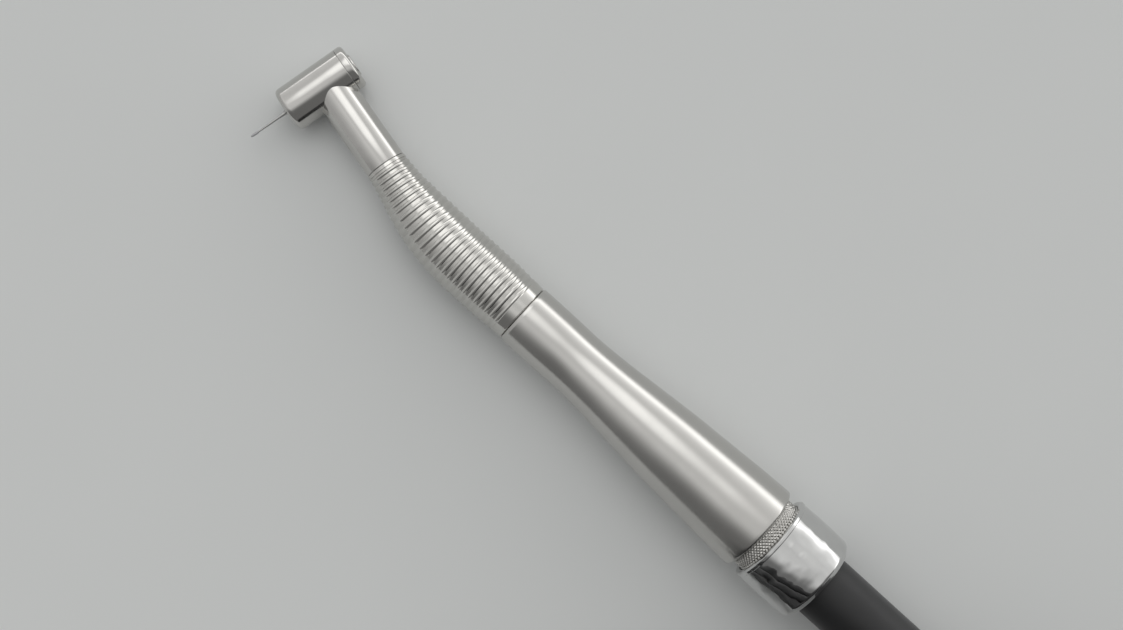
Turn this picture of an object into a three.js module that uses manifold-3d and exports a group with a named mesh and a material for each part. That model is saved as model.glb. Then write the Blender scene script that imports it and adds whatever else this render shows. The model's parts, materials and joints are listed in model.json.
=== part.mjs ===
// High speed dental handpiece on its hose: an air turbine in a small head, a bent ringed grip,
// a tapered handle, a four-hole connector with its coupling nut, and the hose in its coil.
// Millimetres, +Z up. The handpiece lies on its side, its handle along X with the hose towards +X,
// and the origin is on the surface below the middle of the handpiece.
import * as THREE from 'three';
import { mergeVertices } from 'three/addons/utils/BufferGeometryUtils.js';
import Module from 'manifold-3d';

const wasm = await Module();
wasm.setup();

// ---- Driving dimensions -------------------------------------------------------------------
// Along the handle, x is the distance behind the joint of grip and handle (ahead is negative).
const BEND_ANGLE = THREE.MathUtils.degToRad(12.7);
const BEND_RADIUS = 81;
const BEND_START = 12.8;
const NECK_RUN = 23.7; // straight run from the bend to the head's axis
const HEAD_X = -(BEND_START + BEND_RADIUS * BEND_ANGLE + NECK_RUN);
const GRIP_FRONT = HEAD_X + 18.2;
const HANDLE_END = 57.6;
const CONNECTOR_END = 65.5;
const NUT_START = 60.0;
const NUT_END = 72.1;
const FITTING_END = 67.9;
const NECK_R = 3.8;
const HEAD_R = 4.23;
const NUT_R = 8.85;
const HOSE_R = 6.1;

// Along the head's axis, h is the height above the neck's axis, towards the push button.
const HEAD_FACE = -9.0; // the face that the bur leaves
const CAP_SEAM = 4.05;
const CAP_FACE = 5.65;
const BORE_R = 3.55; // turbine chamber
const BEARING_R = 3.175;
const BEARING_W = 2.38;
const SHAFT_R = 1.58;
const FRONT_BEARING = -7.75; // lower face of each bearing
const REAR_BEARING = -0.4;
const BUR_R = 0.795;
const VANES = 10;
const RIM_REACH = 3.75; // outer radius of the cap's thread

// Sides of the round shapes: outer cases, fitted rings, small turned pieces and an O-ring's section.
const CASE_SIDES = 28;
const RING_SIDES = 20;
const HOLE_SIDES = 12;
const SECTION_SIDES = 6;

const CLEAR = 0.04; // gap between neighbours that touch or turn
const FACE_GAP = 0.3; // gap between a hose solid and what it meets

// Four-hole pattern: each line's pipe radius and its place in the section (side, up).
const LINES = {
  drive_air: { radius: 1.25, side: 0, up: -2.9 },
  exhaust: { radius: 1.7, side: 0, up: 2.5 },
  water: { radius: 0.75, side: 3.2, up: 0 },
  chip_air: { radius: 0.75, side: -3.2, up: 0 },
};

// Hose: its coil's mean radius and layers, and where it meets the coil, measured from its exit.
const COIL_RADIUS = 61;
const COIL_CENTRE = { along: 62, side: -61 };
const LAYER = 12.5;
const RAMP_FROM = 235;
const RAMP_TO = 318;
const HOSE_END_TURN = 3 * 360 + 195; // degrees round the coil
const RING_TOP = 37.2;
const COIL_SIDES = 40;
const END_LIFT = 1.85; // the last turn rises to the axis of the connector that lies on the coil
const END_RUN = 8; // straight run into the connector

// Centre line of the hose's free stretch: along, side, height above the surface.
const HOSE_ROUTE = [
  [0, 0, 9.01], [4, 0, 9.15], [8, 0, 9.28], [12, 0, 9.4], [16, 0, 9.5],
  [20, 0, 9.55], [24, 0, 9.54], [28, 0, 9.43], [32, 0, 9.2], [36, 0, 8.85],
  [40, 0, 8.4], [44, 0, 7.9], [48, 0, 7.38], [52, 0, 6.92], [56, 0, 6.55],
  [59, 0, 6.34],
];

// ---- Shape helpers -------------------------------------------------------------------------
const bare = (geometry) => {
  const plain = geometry.index ? geometry.clone() : mergeVertices(geometry);
  plain.deleteAttribute('normal');
  plain.deleteAttribute('uv');
  return mergeVertices(plain, 1e-5);
};

const solid = (geometry) => {
  const plain = bare(geometry);
  const index = plain.index.array;
  const kept = [];
  for (let i = 0; i < index.length; i += 3) {
    const [a, b, c] = [index[i], index[i + 1], index[i + 2]];
    if (a !== b && b !== c && c !== a) kept.push(a, b, c);
  }
  return new wasm.Manifold(new wasm.Mesh({
    numProp: 3,
    vertProperties: new Float32Array(plain.attributes.position.array),
    triVerts: new Uint32Array(kept),
  }));
};

const geometryOf = (manifold) => {
  const mesh = manifold.getMesh();
  const geometry = new THREE.BufferGeometry();
  geometry.setAttribute('position', new THREE.BufferAttribute(new Float32Array(mesh.vertProperties), 3));
  geometry.setIndex(new THREE.BufferAttribute(new Uint32Array(mesh.triVerts), 1));
  return geometry;
};

const cut = (base, ...tools) =>
  geometryOf(tools.reduce((left, tool) => left.subtract(solid(tool)), solid(base)));
const join = (base, ...others) =>
  geometryOf(others.reduce((sum, other) => sum.add(solid(other)), solid(base)));

// A turned solid about Y from [radius, height] points: open outlines run from axis to axis.
const turned = (outline, sides = RING_SIDES) => {
  const touchesAxis = outline[0][0] === 0;
  const loop = touchesAxis ? outline : [...outline, outline[0]];
  const area = outline.reduce((sum, [r, h], i) => {
    const [nextR, nextH] = outline[(i + 1) % outline.length];
    return sum + r * nextH - nextR * h;
  }, 0);
  const points = loop.map(([r, h]) => new THREE.Vector2(r, h));
  if (area < 0) points.reverse();
  return new THREE.LatheGeometry(points, sides);
};

const washer = (inner, outer, low, high, sides = RING_SIDES) =>
  turned([[inner, low], [outer, low], [outer, high], [inner, high]], sides);

const rod = (radius, low, high, sides = HOLE_SIDES) =>
  turned([[0, low], [radius, low], [radius, high], [0, high]], sides);

// An O-ring, about Y.
const oRing = (inner, outer, middle, sides = RING_SIDES) => {
  const section = (outer - inner) / 2;
  const ring = [];
  for (let i = 0; i < SECTION_SIDES; i += 1) {
    const angle = (i / SECTION_SIDES) * Math.PI * 2;
    ring.push([inner + section + section * Math.cos(angle), middle + section * Math.sin(angle)]);
  }
  return turned(ring, sides);
};

// Turns a shape made about Y so that its axis runs along X.
const alongX = (geometry) => geometry.clone().rotateZ(-Math.PI / 2);

// ---- Centre line of the handle, grip and neck -------------------------------------------------
const spineAt = (x) => {
  const turn = THREE.MathUtils.clamp((-BEND_START - x) / BEND_RADIUS, 0, BEND_ANGLE);
  const beyond = Math.max(0, -x - BEND_START - BEND_RADIUS * BEND_ANGLE);
  const ahead = x > -BEND_START ? x + BEND_START : 0;
  return {
    x: -BEND_START + ahead - BEND_RADIUS * Math.sin(turn) - beyond * Math.cos(turn),
    y: BEND_RADIUS * (1 - Math.cos(turn)) + beyond * Math.sin(turn),
    turn,
  };
};

// Bends a shape made straight along X so that it follows the centre line.
const bent = (geometry) => {
  const shape = geometry.clone();
  const position = shape.attributes.position;
  for (let i = 0; i < position.count; i += 1) {
    const side = position.getY(i);
    const at = spineAt(position.getX(i));
    position.setXY(i, at.x + side * Math.sin(at.turn), at.y + side * Math.cos(at.turn));
  }
  return shape;
};

// ---- Materials -------------------------------------------------------------------------------
const FINISHES = {
  polished: { color: 0xb9b7b2, roughness: 0.12, metalness: 1 },
  satin: { color: 0xaba9a4, roughness: 0.25, metalness: 1 },
  chrome: { color: 0xc4c3c0, roughness: 0.06, metalness: 1 },
  steel: { color: 0x9a9a98, roughness: 0.3, metalness: 1 },
  brass: { color: 0xb08d57, roughness: 0.35, metalness: 1 },
  aluminium: { color: 0xc2c4c6, roughness: 0.35, metalness: 1 },
  rubber: { color: 0x1c1c1d, roughness: 0.6, metalness: 0 },
  phenolic: { color: 0x8a5a33, roughness: 0.6, metalness: 0 },
  diamond: { color: 0x8c8f93, roughness: 0.7, metalness: 0.4 },
};

const part = (name, finish, geometry) => {
  const mesh = new THREE.Mesh(geometry, new THREE.MeshStandardMaterial(FINISHES[finish]));
  mesh.name = name;
  return mesh;
};

// ---- Groups -------------------------------------------------------------------------------------
const root = new THREE.Group();
const lying = new THREE.Group(); // the handpiece as it rests on its side
const head = new THREE.Group(); // local Y is the head's axis, towards the push button
const headAt = spineAt(HEAD_X);
head.position.set(headAt.x, headAt.y, 0);
head.rotation.z = -BEND_ANGLE;
lying.add(head);
root.add(lying);

// The grip's belly and the nut's front edge both touch the surface, with the head's axis level.
const BELLY = { x: -16.5, radius: 6.1 };
const pitch = Math.asin((NUT_R - BELLY.radius) / (NUT_START - BELLY.x));
const roll = -Math.asin(Math.tan(BEND_ANGLE) * Math.tan(pitch));
lying.rotation.set(roll, -pitch, 0, 'YXZ');

// ---- Shell: housing, grip, handle, connector and lines --------------------------------------------
const headHousing = () => {
  const barrel = turned([
    [0, HEAD_FACE], [3.4, HEAD_FACE], [3.85, HEAD_FACE + 0.14], [4.12, HEAD_FACE + 0.45],
    [HEAD_R, HEAD_FACE + 0.95], [HEAD_R, CAP_SEAM], [0, CAP_SEAM],
  ], CASE_SIDES);
  const neck = alongX(turned([
    [0, 0.5], [NECK_R, 0.5], [NECK_R, 18.1], [3.3, 18.2], [3.3, 23.2], [0, 23.2],
  ], CASE_SIDES));
  const neckBore = alongX(rod(2.75, 5.2, 24, RING_SIDES));
  const chamber = turned([
    [0, HEAD_FACE + 0.85], [BORE_R, HEAD_FACE + 0.85], [BORE_R, 2.33], [RIM_REACH + CLEAR, 2.33],
    [RIM_REACH + CLEAR, 3.7], [4.02, 3.7], [4.02, 5], [0, 5],
  ], CASE_SIDES);
  const nose = rod(1.8, HEAD_FACE - 1, HEAD_FACE + 2, RING_SIDES);
  const airJet = alongX(rod(0.7, 2, 6)).translate(0, -2.0, 1.4);
  const exhaustPorts = [-1.5, 0].map((z) => alongX(rod(0.55, 2, 6)).translate(0, -2.2, z));
  const sprayPorts = [0, 120, 240].map((degrees) => {
    const angle = THREE.MathUtils.degToRad(degrees);
    const port = rod(0.22, HEAD_FACE - 1, HEAD_FACE + 0.5, 6);
    return port.translate(2.6 * Math.sin(angle), 0, 2.6 * Math.cos(angle));
  });
  return cut(join(barrel, neck), chamber, nose, neckBore, airJet, ...exhaustPorts, ...sprayPorts);
};
head.add(part('head_housing', 'polished', headHousing()));

// Outline of the ringed grip: [x, outer radius] from its front edge to its rear band.
const GRIP_OUTLINE = [
  [GRIP_FRONT, 3.88], [-31.4, 4.42], [-28.4, 4.92], [-25.3, 5.4], [-21.6, 5.82], [-18.2, 6.05],
  [-14.8, 6.16], [-10.8, 6.2], [-6.8, 6.2], [-2.4, 5.95], [-0.05, 5.8],
];
const grip = () => {
  const outside = GRIP_OUTLINE.map(([x, r]) => [r, x]);
  const inside = [
    [3.6, 5.8], [3.6, -6], [4.4, -12], [4.3, -18], [4.0, -24],
    [3.4, -29], [3.34, -30.8], [3.34, GRIP_FRONT],
  ];
  const spigot = [[5.0, -0.05], [5.0, 5.8]];
  return bent(alongX(turned([...outside, ...spigot, ...inside], CASE_SIDES)));
};
lying.add(part('grip_sleeve', 'polished', grip()));

const handle = () => alongX(turned([
  [5.3, 0], [5.75, 0.1], [5.98, 0.9], [6.0, 6.8], [5.93, 13.5], [6.15, 18.9], [6.93, 28.4], [7.47, 35],
  [8.1, 46], [8.6, 56.4], [8.5, 57.2], [8.1, HANDLE_END], [6.95, HANDLE_END], [6.95, 50],
  [6.1, 40], [5.5, 30], [5.04, 20], [5.04, 0],
], CASE_SIDES));
lying.add(part('handle_sleeve', 'satin', handle()));

const lineHole = (line, low, high, extra = 0.05) =>
  alongX(rod(line.radius + extra, low, high)).translate(0, line.side, line.up);

const connector = () => {
  const body = alongX(turned([
    [0, 50.2], [6.9, 50.2], [6.9, 52.2], [6.45, 52.2], [6.45, 53.2], [6.9, 53.2],
    [6.9, HANDLE_END + 0.05], [7.45, HANDLE_END + 0.05], [7.45, CONNECTOR_END - 0.4],
    [7.1, CONNECTOR_END], [0, CONNECTOR_END],
  ], CASE_SIDES));
  return cut(body, ...Object.values(LINES).map((line) => lineHole(line, 49, 67)));
};
lying.add(part('rear_connector', 'steel', connector()));
lying.add(part('connector_seal', 'rubber', alongX(oRing(6.47, 6.92, 52.7, CASE_SIDES))));

// A line's tube from the connector, drawn in towards the centre line, to the neck.
const innerTube = (line, wall, neckSide, neckUp) => {
  const station = (x, side, up) => {
    const at = spineAt(x);
    return new THREE.Vector3(at.x + side * Math.sin(at.turn), at.y + side * Math.cos(at.turn), up);
  };
  const path = new THREE.CatmullRomCurve3([
    station(57, line.side, line.up), station(44, line.side, line.up), station(12, neckSide, neckUp),
    station(0, neckSide, neckUp), station(-14, neckSide, neckUp), station(-24, neckSide, neckUp),
    station(-34, neckSide, neckUp), station(HEAD_X + 5.6, neckSide, neckUp),
  ]);
  const section = new THREE.Shape().absarc(0, 0, line.radius, 0, Math.PI * 2);
  section.holes.push(new THREE.Path().absarc(0, 0, line.radius - wall, 0, Math.PI * 2));
  return new THREE.ExtrudeGeometry(section, { extrudePath: path, steps: 14, curveSegments: 3 });
};
lying.add(part('drive_air_tube', 'steel', innerTube(LINES.drive_air, 0.25, 0, -1.2)));
lying.add(part('water_tube', 'steel', innerTube(LINES.water, 0.2, 1.3, 1.15)));
lying.add(part('chip_air_tube', 'steel', innerTube(LINES.chip_air, 0.2, -1.3, 1.15)));

// ---- Turbine cartridge ------------------------------------------------------------------------------
for (const [end, low] of [['front', FRONT_BEARING], ['rear', REAR_BEARING]]) {
  const high = low + BEARING_W;
  const middle = (low + high) / 2;
  head.add(part(`${end}_outer_race`, 'steel', washer(2.72, BEARING_R, low, high)));
  head.add(part(`${end}_inner_race`, 'steel', washer(SHAFT_R + CLEAR, 2.02, low, high)));
  head.add(part(`${end}_ball_cage`, 'phenolic', washer(2.12, 2.62, middle - 0.6, middle + 0.6)));
  head.add(part(`${end}_o_ring`, 'rubber', oRing(BEARING_R + 0.02, BORE_R - 0.03, middle)));
}
const frontTop = FRONT_BEARING + BEARING_W;
const rearTop = REAR_BEARING + BEARING_W;
head.add(part('preload_washer', 'steel', washer(2.75, 3.2, rearTop + 0.05, rearTop + 0.3)));
head.add(part('spindle', 'steel', washer(1.12, SHAFT_R, -8.7, 2.4)));
head.add(part('collet', 'steel', washer(BUR_R + CLEAR, 1.08, -8.6, 1.0)));

const impeller = () => {
  const hub = washer(SHAFT_R + CLEAR, 2.15, frontTop + 0.05, REAR_BEARING - 0.05);
  const vanes = [];
  for (let i = 0; i < VANES; i += 1) {
    const vane = new THREE.BoxGeometry(0.28, 3.0, 1.25).translate(0, -2.4, 2.6);
    vanes.push(vane.rotateY((i / VANES) * Math.PI * 2));
  }
  return join(hub, ...vanes);
};
head.add(part('impeller', 'aluminium', impeller()));

head.add(part('chuck_plunger', 'steel', turned([
  [0, 1.5], [1.05, 1.5], [1.05, 2.9], [1.5, 2.9], [1.5, 3.2], [0, 3.2],
])));

head.add(part('bur_shank', 'steel', turned([
  [0, 0.8], [0.7, 0.8], [BUR_R, 0.7], [BUR_R, -8.6], [0.62, -9.0], [0.36, -9.5], [0.26, -11],
  [0.15, -16.15], [0, -16.15],
], HOLE_SIDES)));
head.add(part('bur_tip', 'diamond', turned([
  [0, -16.17], [0.2, -16.23], [0.28, -16.43], [0.28, -16.65], [0.17, -16.87], [0, -16.95],
], HOLE_SIDES)));

// ---- Head cap and push button -------------------------------------------------------------------------
head.add(part('cap_seal', 'rubber', oRing(3.79, 3.98, 3.87)));
head.add(part('head_cap', 'polished', turned([
  [3.35, 2.38], [3.72, 2.38], [3.72, CAP_SEAM + 0.03], [HEAD_R, CAP_SEAM + 0.03], [HEAD_R, 4.4],
  [4.1, 4.85], [3.75, 5.3], [3.25, 5.56], [2.7, CAP_FACE], [2.22, CAP_FACE], [2.22, 4.88], [3.35, 4.88],
], CASE_SIDES)));
head.add(part('spring_retainer', 'steel', washer(1.75, 3.31, 3.3, 3.55)));
head.add(part('button_spring', 'steel', washer(2.5, 2.8, 3.6, 4.36)));
head.add(part('push_button', 'polished', turned([
  [0, 3.4], [1.3, 3.4], [1.3, 4.4], [3.1, 4.4], [3.1, 4.82], [2.15, 4.82], [2.15, CAP_FACE + 0.15],
  [2.0, CAP_FACE + 0.25], [0, CAP_FACE + 0.25],
])));

// ---- Coupling nut and hose end ---------------------------------------------------------------------------
lying.add(part('coupling_nut', 'chrome', alongX(turned([
  [7.52, NUT_START], [8.5, NUT_START], [NUT_R, NUT_START + 0.25], [NUT_R, NUT_START + 0.7],
  [8.8, NUT_START + 2], [8.68, NUT_END - 1.5], [8.5, NUT_END - 1.0], [7.0, NUT_END - 0.2],
  [6.3, NUT_END], [6.3, 68.25], [7.52, 68.25],
], CASE_SIDES))));

const pierced = (shape) =>
  cut(shape, ...Object.values(LINES).map((line) => lineHole(line, 64, 70, CLEAR)));
const gasket = rod(6.9, CONNECTOR_END + 0.03, 66.3, RING_SIDES);
const fitting = rod(7.35, 66.33, FITTING_END, RING_SIDES);
lying.add(part('hose_gasket', 'rubber', pierced(alongX(gasket))));
lying.add(part('hose_fitting', 'brass', pierced(alongX(fitting))));

// A line's metal pipe along X.
const linePipe = (line, wall, low, high) =>
  alongX(washer(line.radius - wall, line.radius, low, high, HOLE_SIDES)).translate(0, line.side, line.up);
for (const [name, line] of Object.entries(LINES)) {
  lying.add(part(`${name}_pipe`, 'steel', linePipe(line, 0.25, 61.5, FITTING_END)));
}
lying.add(part('slip_washer', 'steel', alongX(washer(6.45, 7.4, FITTING_END + CLEAR, 68.2))));

// ---- Hose -----------------------------------------------------------------------------------------------
// The handpiece comes down onto the surface, and the hose starts from its fitting's rear face.
lying.position.z = -new THREE.Box3().setFromObject(lying, true).min.z;
lying.updateMatrixWorld(true);
const exit = new THREE.Vector3(FITTING_END + FACE_GAP, 0, 0).applyMatrix4(lying.matrixWorld);

// Height of the hose's centre at an angle round the coil: each layer lies flat, then climbs once.
const coilHeight = (degrees) => {
  const layer = Math.floor(degrees / 360);
  const within = degrees - layer * 360;
  const climb = THREE.MathUtils.smootherstep(within, RAMP_FROM, RAMP_TO);
  const lift = END_LIFT * THREE.MathUtils.smootherstep(degrees, HOSE_END_TURN - 40, HOSE_END_TURN);
  return HOSE_R + (layer + climb) * LAYER + lift;
};
const coilPoint = (degrees) => {
  const angle = THREE.MathUtils.degToRad(degrees);
  return new THREE.Vector3(
    exit.x + COIL_CENTRE.along + COIL_RADIUS * Math.sin(angle),
    exit.y + COIL_CENTRE.side + COIL_RADIUS * Math.cos(angle),
    coilHeight(degrees),
  );
};
const hoseTube = (points, steps) => {
  const section = new THREE.Shape().absarc(0, 0, HOSE_R, 0, Math.PI * 2);
  const path = new THREE.CatmullRomCurve3(points, false, 'centripetal');
  return new THREE.ExtrudeGeometry(section, { extrudePath: path, steps, curveSegments: 5 });
};
const coilRing = (spare, sideSpare = spare) => {
  const reach = HOSE_R + sideSpare;
  const ring = washer(COIL_RADIUS - reach, COIL_RADIUS + reach, -spare, RING_TOP + spare, COIL_SIDES);
  return ring.rotateX(Math.PI / 2).translate(exit.x + COIL_CENTRE.along, exit.y + COIL_CENTRE.side, 0);
};
const freeStretch = HOSE_ROUTE.map(([along, side, height]) =>
  new THREE.Vector3(exit.x + along, exit.y + side, height));
const endAngle = THREE.MathUtils.degToRad(HOSE_END_TURN);
const endRun = new THREE.Vector3(Math.cos(endAngle), -Math.sin(endAngle), 0).multiplyScalar(END_RUN);
const hoseEnd = coilPoint(HOSE_END_TURN).add(endRun);
const lastLayer = [];
for (let degrees = 2 * 360 + RAMP_FROM; degrees <= HOSE_END_TURN; degrees += 10) {
  lastLayer.push(coilPoint(degrees));
}
lastLayer.push(hoseEnd.clone().addScaledVector(endRun, -0.5), hoseEnd);
root.add(part('hose_tube', 'rubber', cut(hoseTube([...freeStretch, coilPoint(0)], 6), coilRing(FACE_GAP))));
root.add(part('hose_coil', 'rubber', coilRing(0)));
root.add(part('hose_end_tube', 'rubber', cut(hoseTube(lastLayer, 16), coilRing(FACE_GAP, 4))));

// ---- Connector at the hose's far end: local X runs on from the hose -------------------------------------
const far = new THREE.Group();
far.position.copy(hoseEnd);
far.rotation.z = -endAngle;
root.add(far);
far.add(part('unit_connector', 'aluminium', alongX(turned([
  [0, FACE_GAP], [6.6, FACE_GAP], [6.9, 0.8], [6.9, 12], [5.6, 13], [5.6, 19], [7.0, 19],
  [7.0, 21], [0, 21],
], CASE_SIDES))));
far.add(part('unit_nut', 'chrome', alongX(turned([
  [5.7, 13.4], [7.9, 13.4], [8.2, 13.8], [8.2, 24.6], [7.9, 25], [7.2, 25], [7.2, 18.8], [5.7, 18.8],
], CASE_SIDES))));
for (const [name, line] of Object.entries(LINES)) {
  far.add(part(`unit_${name}_pipe`, 'steel', linePipe(line, 0.3, 21.03, 27.5)));
}

// The origin goes on the surface below the middle of the handpiece, hose left out.
const box = new THREE.Box3().setFromObject(lying, true);
root.position.set(-(box.min.x + box.max.x) / 2, -(box.min.y + box.max.y) / 2, 0);
root.updateMatrixWorld(true);

export default root;
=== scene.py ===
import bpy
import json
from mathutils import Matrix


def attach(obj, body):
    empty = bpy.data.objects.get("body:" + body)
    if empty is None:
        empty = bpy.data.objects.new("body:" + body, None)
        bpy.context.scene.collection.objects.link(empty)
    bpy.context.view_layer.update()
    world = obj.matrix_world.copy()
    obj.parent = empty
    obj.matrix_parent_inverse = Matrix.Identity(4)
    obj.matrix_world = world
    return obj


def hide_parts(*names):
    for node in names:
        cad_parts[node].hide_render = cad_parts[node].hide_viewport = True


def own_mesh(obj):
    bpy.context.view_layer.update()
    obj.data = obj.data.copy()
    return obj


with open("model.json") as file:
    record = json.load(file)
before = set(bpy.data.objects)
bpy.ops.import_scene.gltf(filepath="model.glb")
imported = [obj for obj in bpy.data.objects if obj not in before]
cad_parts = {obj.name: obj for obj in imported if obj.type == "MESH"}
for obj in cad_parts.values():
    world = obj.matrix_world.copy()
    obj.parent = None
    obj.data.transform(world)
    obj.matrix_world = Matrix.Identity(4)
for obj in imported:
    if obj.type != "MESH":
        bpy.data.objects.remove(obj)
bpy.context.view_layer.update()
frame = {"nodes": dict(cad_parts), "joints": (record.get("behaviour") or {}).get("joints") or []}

"""A high speed dental handpiece lying on its side with its black hose, dressed over its CAD frame.

Each sub-assembly is built in millimetres in a frame of its own and then placed in the row frame:
the handle's frame has Z along the handle towards the hose, X to the button's side and Y up; the
head's has Z towards the push button and X along the neck; the unit end's has Z on from the hose.
"""
import json
import logging
import math
from dataclasses import dataclass
from enum import Enum
from typing import Callable, Iterator, Sequence

import bmesh
import bpy
from mathutils import Matrix, Vector, noise

LOG = logging.getLogger("handpiece")
MM = 0.001
Outline = Sequence[tuple[float, ...]]
Shape = Callable[[Vector], Vector]

# Sizes in millimetres that several sub-assemblies share.
BEND_ANGLE = math.radians(12.7)
BEND_RADIUS = 81.0
BEND_START = 12.8
NECK_RUN = 23.7
HEAD_X = -(BEND_START + BEND_RADIUS * BEND_ANGLE + NECK_RUN)
GRIP_FRONT = HEAD_X + 18.2
HANDLE_END = 57.6
CONNECTOR_END = 65.5
FITTING_END = 67.9
NUT_START = 60.0
NUT_END = 72.1
NUT_AXIS_X = 60.0
HEAD_R = 4.23
NECK_R = 3.8
BORE_R = 3.55
BEARING_R = 3.175
BEARING_W = 2.38
SHAFT_R = 1.58
FRONT_BEARING = -7.75
REAR_BEARING = -0.4
BUR_R = 0.795
CLEAR = 0.04
UNIT_AXIS_X = 21.0

# Steps round a turned piece: the large seen ones, the casing, the small ones and the drilled holes.
FINE_STEPS = 144
CASE_STEPS = 112
SMALL_STEPS = 56
HOLE_STEPS = 40
SPRING_STEPS = 32

# Half the angle at a corner past which it counts as straight, and a corner's most of each side.
STRAIGHT = 1.56
LONGEST_REACH = 0.48
MERGE_DISTANCE = 1e-4
# How far a point may be off a wall, and past its ends, and still be worked with it.
WALL_SLACK = 0.02
ROW_SLACK = 0.01
CAP_PITCH = 0.5
NUT_PITCH = 1.0

# How far each kind of wear, and the painted shade in grooves, changes a finish.
SMEAR_TINT = 0.35
SMEARED = 0.88
GROOVE_DULLNESS = 0.35
LEAST_ROUGHNESS = 0.02
BAND_HEIGHT = 1.5
NICK_HEIGHT = -2.0
TONE_TINT = 0.5
DUST_TINT = 0.3
GRAIN_DULLNESS = 0.16
DUST_DULLNESS = 0.15


class Body(str, Enum):
    """The bodies of the frame that pieces ride on."""

    SHELL = "shell"
    ROTOR = "rotor"
    FRONT_CAGE = "front_cage"
    REAR_CAGE = "rear_cage"
    PLUNGER = "plunger"
    BUR = "bur"
    SEAL = "seal"
    CAP = "cap"
    BUTTON = "button"
    HOSE = "hose"
    NUT = "nut"
    UNIT_NUT = "unit_nut"


class Pattern(Enum):
    """Where a finish reads its place from: the lathe the piece was turned on, or its object."""

    LATHE = "turned"
    OBJECT = "object"


@dataclass(frozen=True)
class Line:
    """One of the four passages: its pipe's radius and its place in the round section."""

    radius: float
    side: float
    up: float

    @property
    def place(self) -> Matrix:
        """The line's place in the section."""
        return Matrix.Translation((self.side, self.up, 0))


LINES = {
    "drive_air": Line(1.25, 0.0, -2.9),
    "exhaust": Line(1.7, 0.0, 2.5),
    "water": Line(0.75, 3.2, 0.0),
    "chip_air": Line(0.75, -3.2, 0.0),
}


# ---- Places ----------------------------------------------------------------------------------
def joint(name: str) -> dict:
    """One joint of the frame.

    Args:
        name: The joint's name.

    Returns:
        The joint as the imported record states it.
    """
    return next(found for found in frame["joints"] if found["name"] == name)


def placing(across: Vector, up: Vector, along: Vector, origin: Vector) -> Matrix:
    """The placing of a millimetre frame in the row frame.

    Args:
        across: The frame's X direction.
        up: Its Y direction.
        along: Its Z direction.
        origin: Its origin, in metres.

    Returns:
        A matrix from the frame's millimetres to the row frame's metres.
    """
    turn = Matrix((across, up, along)).transposed().to_4x4()
    return Matrix.Translation(origin) @ turn @ Matrix.Scale(MM, 4)


@dataclass(frozen=True)
class Places:
    """The three millimetre frames, taken from the frame's joints."""

    handle: Matrix
    head: Matrix
    unit: Matrix

    @staticmethod
    def from_joints() -> "Places":
        """The placings that the turbine's, nut's and unit nut's axes give."""
        nut, turbine, unit = (joint(name) for name in ("nut_turn", "turbine_spin", "unit_nut_turn"))
        along = Vector(nut["axis"]).normalized()
        button_way = Vector(turbine["axis"]).normalized()
        across = (button_way - button_way.dot(along) * along).normalized()
        up = along.cross(across)
        to_grip = button_way.cross(up)
        unit_along = Vector(unit["axis"]).normalized()
        sky = Vector((0, 0, 1))
        return Places(
            handle=placing(across, up, along, Vector(nut["pos_m"]) - along * NUT_AXIS_X * MM),
            head=placing(to_grip, -up, button_way, Vector(turbine["pos_m"])),
            unit=placing(sky.cross(unit_along), sky, unit_along,
                         Vector(unit["pos_m"]) - unit_along * UNIT_AXIS_X * MM),
        )


PLACES = Places.from_joints()


def bent(point: Vector) -> Vector:
    """Bends a point of a shape made straight along the handle's axis.

    Args:
        point: Its place in the handle's frame before bending.

    Returns:
        Its place once the grip has its bend.
    """
    x = point.z
    turn = min(max((-BEND_START - x) / BEND_RADIUS, 0.0), BEND_ANGLE)
    beyond = max(0.0, -x - BEND_START - BEND_RADIUS * BEND_ANGLE)
    ahead = x + BEND_START if x > -BEND_START else 0.0
    along = -BEND_START + ahead - BEND_RADIUS * math.sin(turn) - beyond * math.cos(turn)
    across = BEND_RADIUS * (1 - math.cos(turn)) + beyond * math.sin(turn)
    return Vector((across + point.x * math.cos(turn), point.y, along + point.x * math.sin(turn)))


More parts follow.
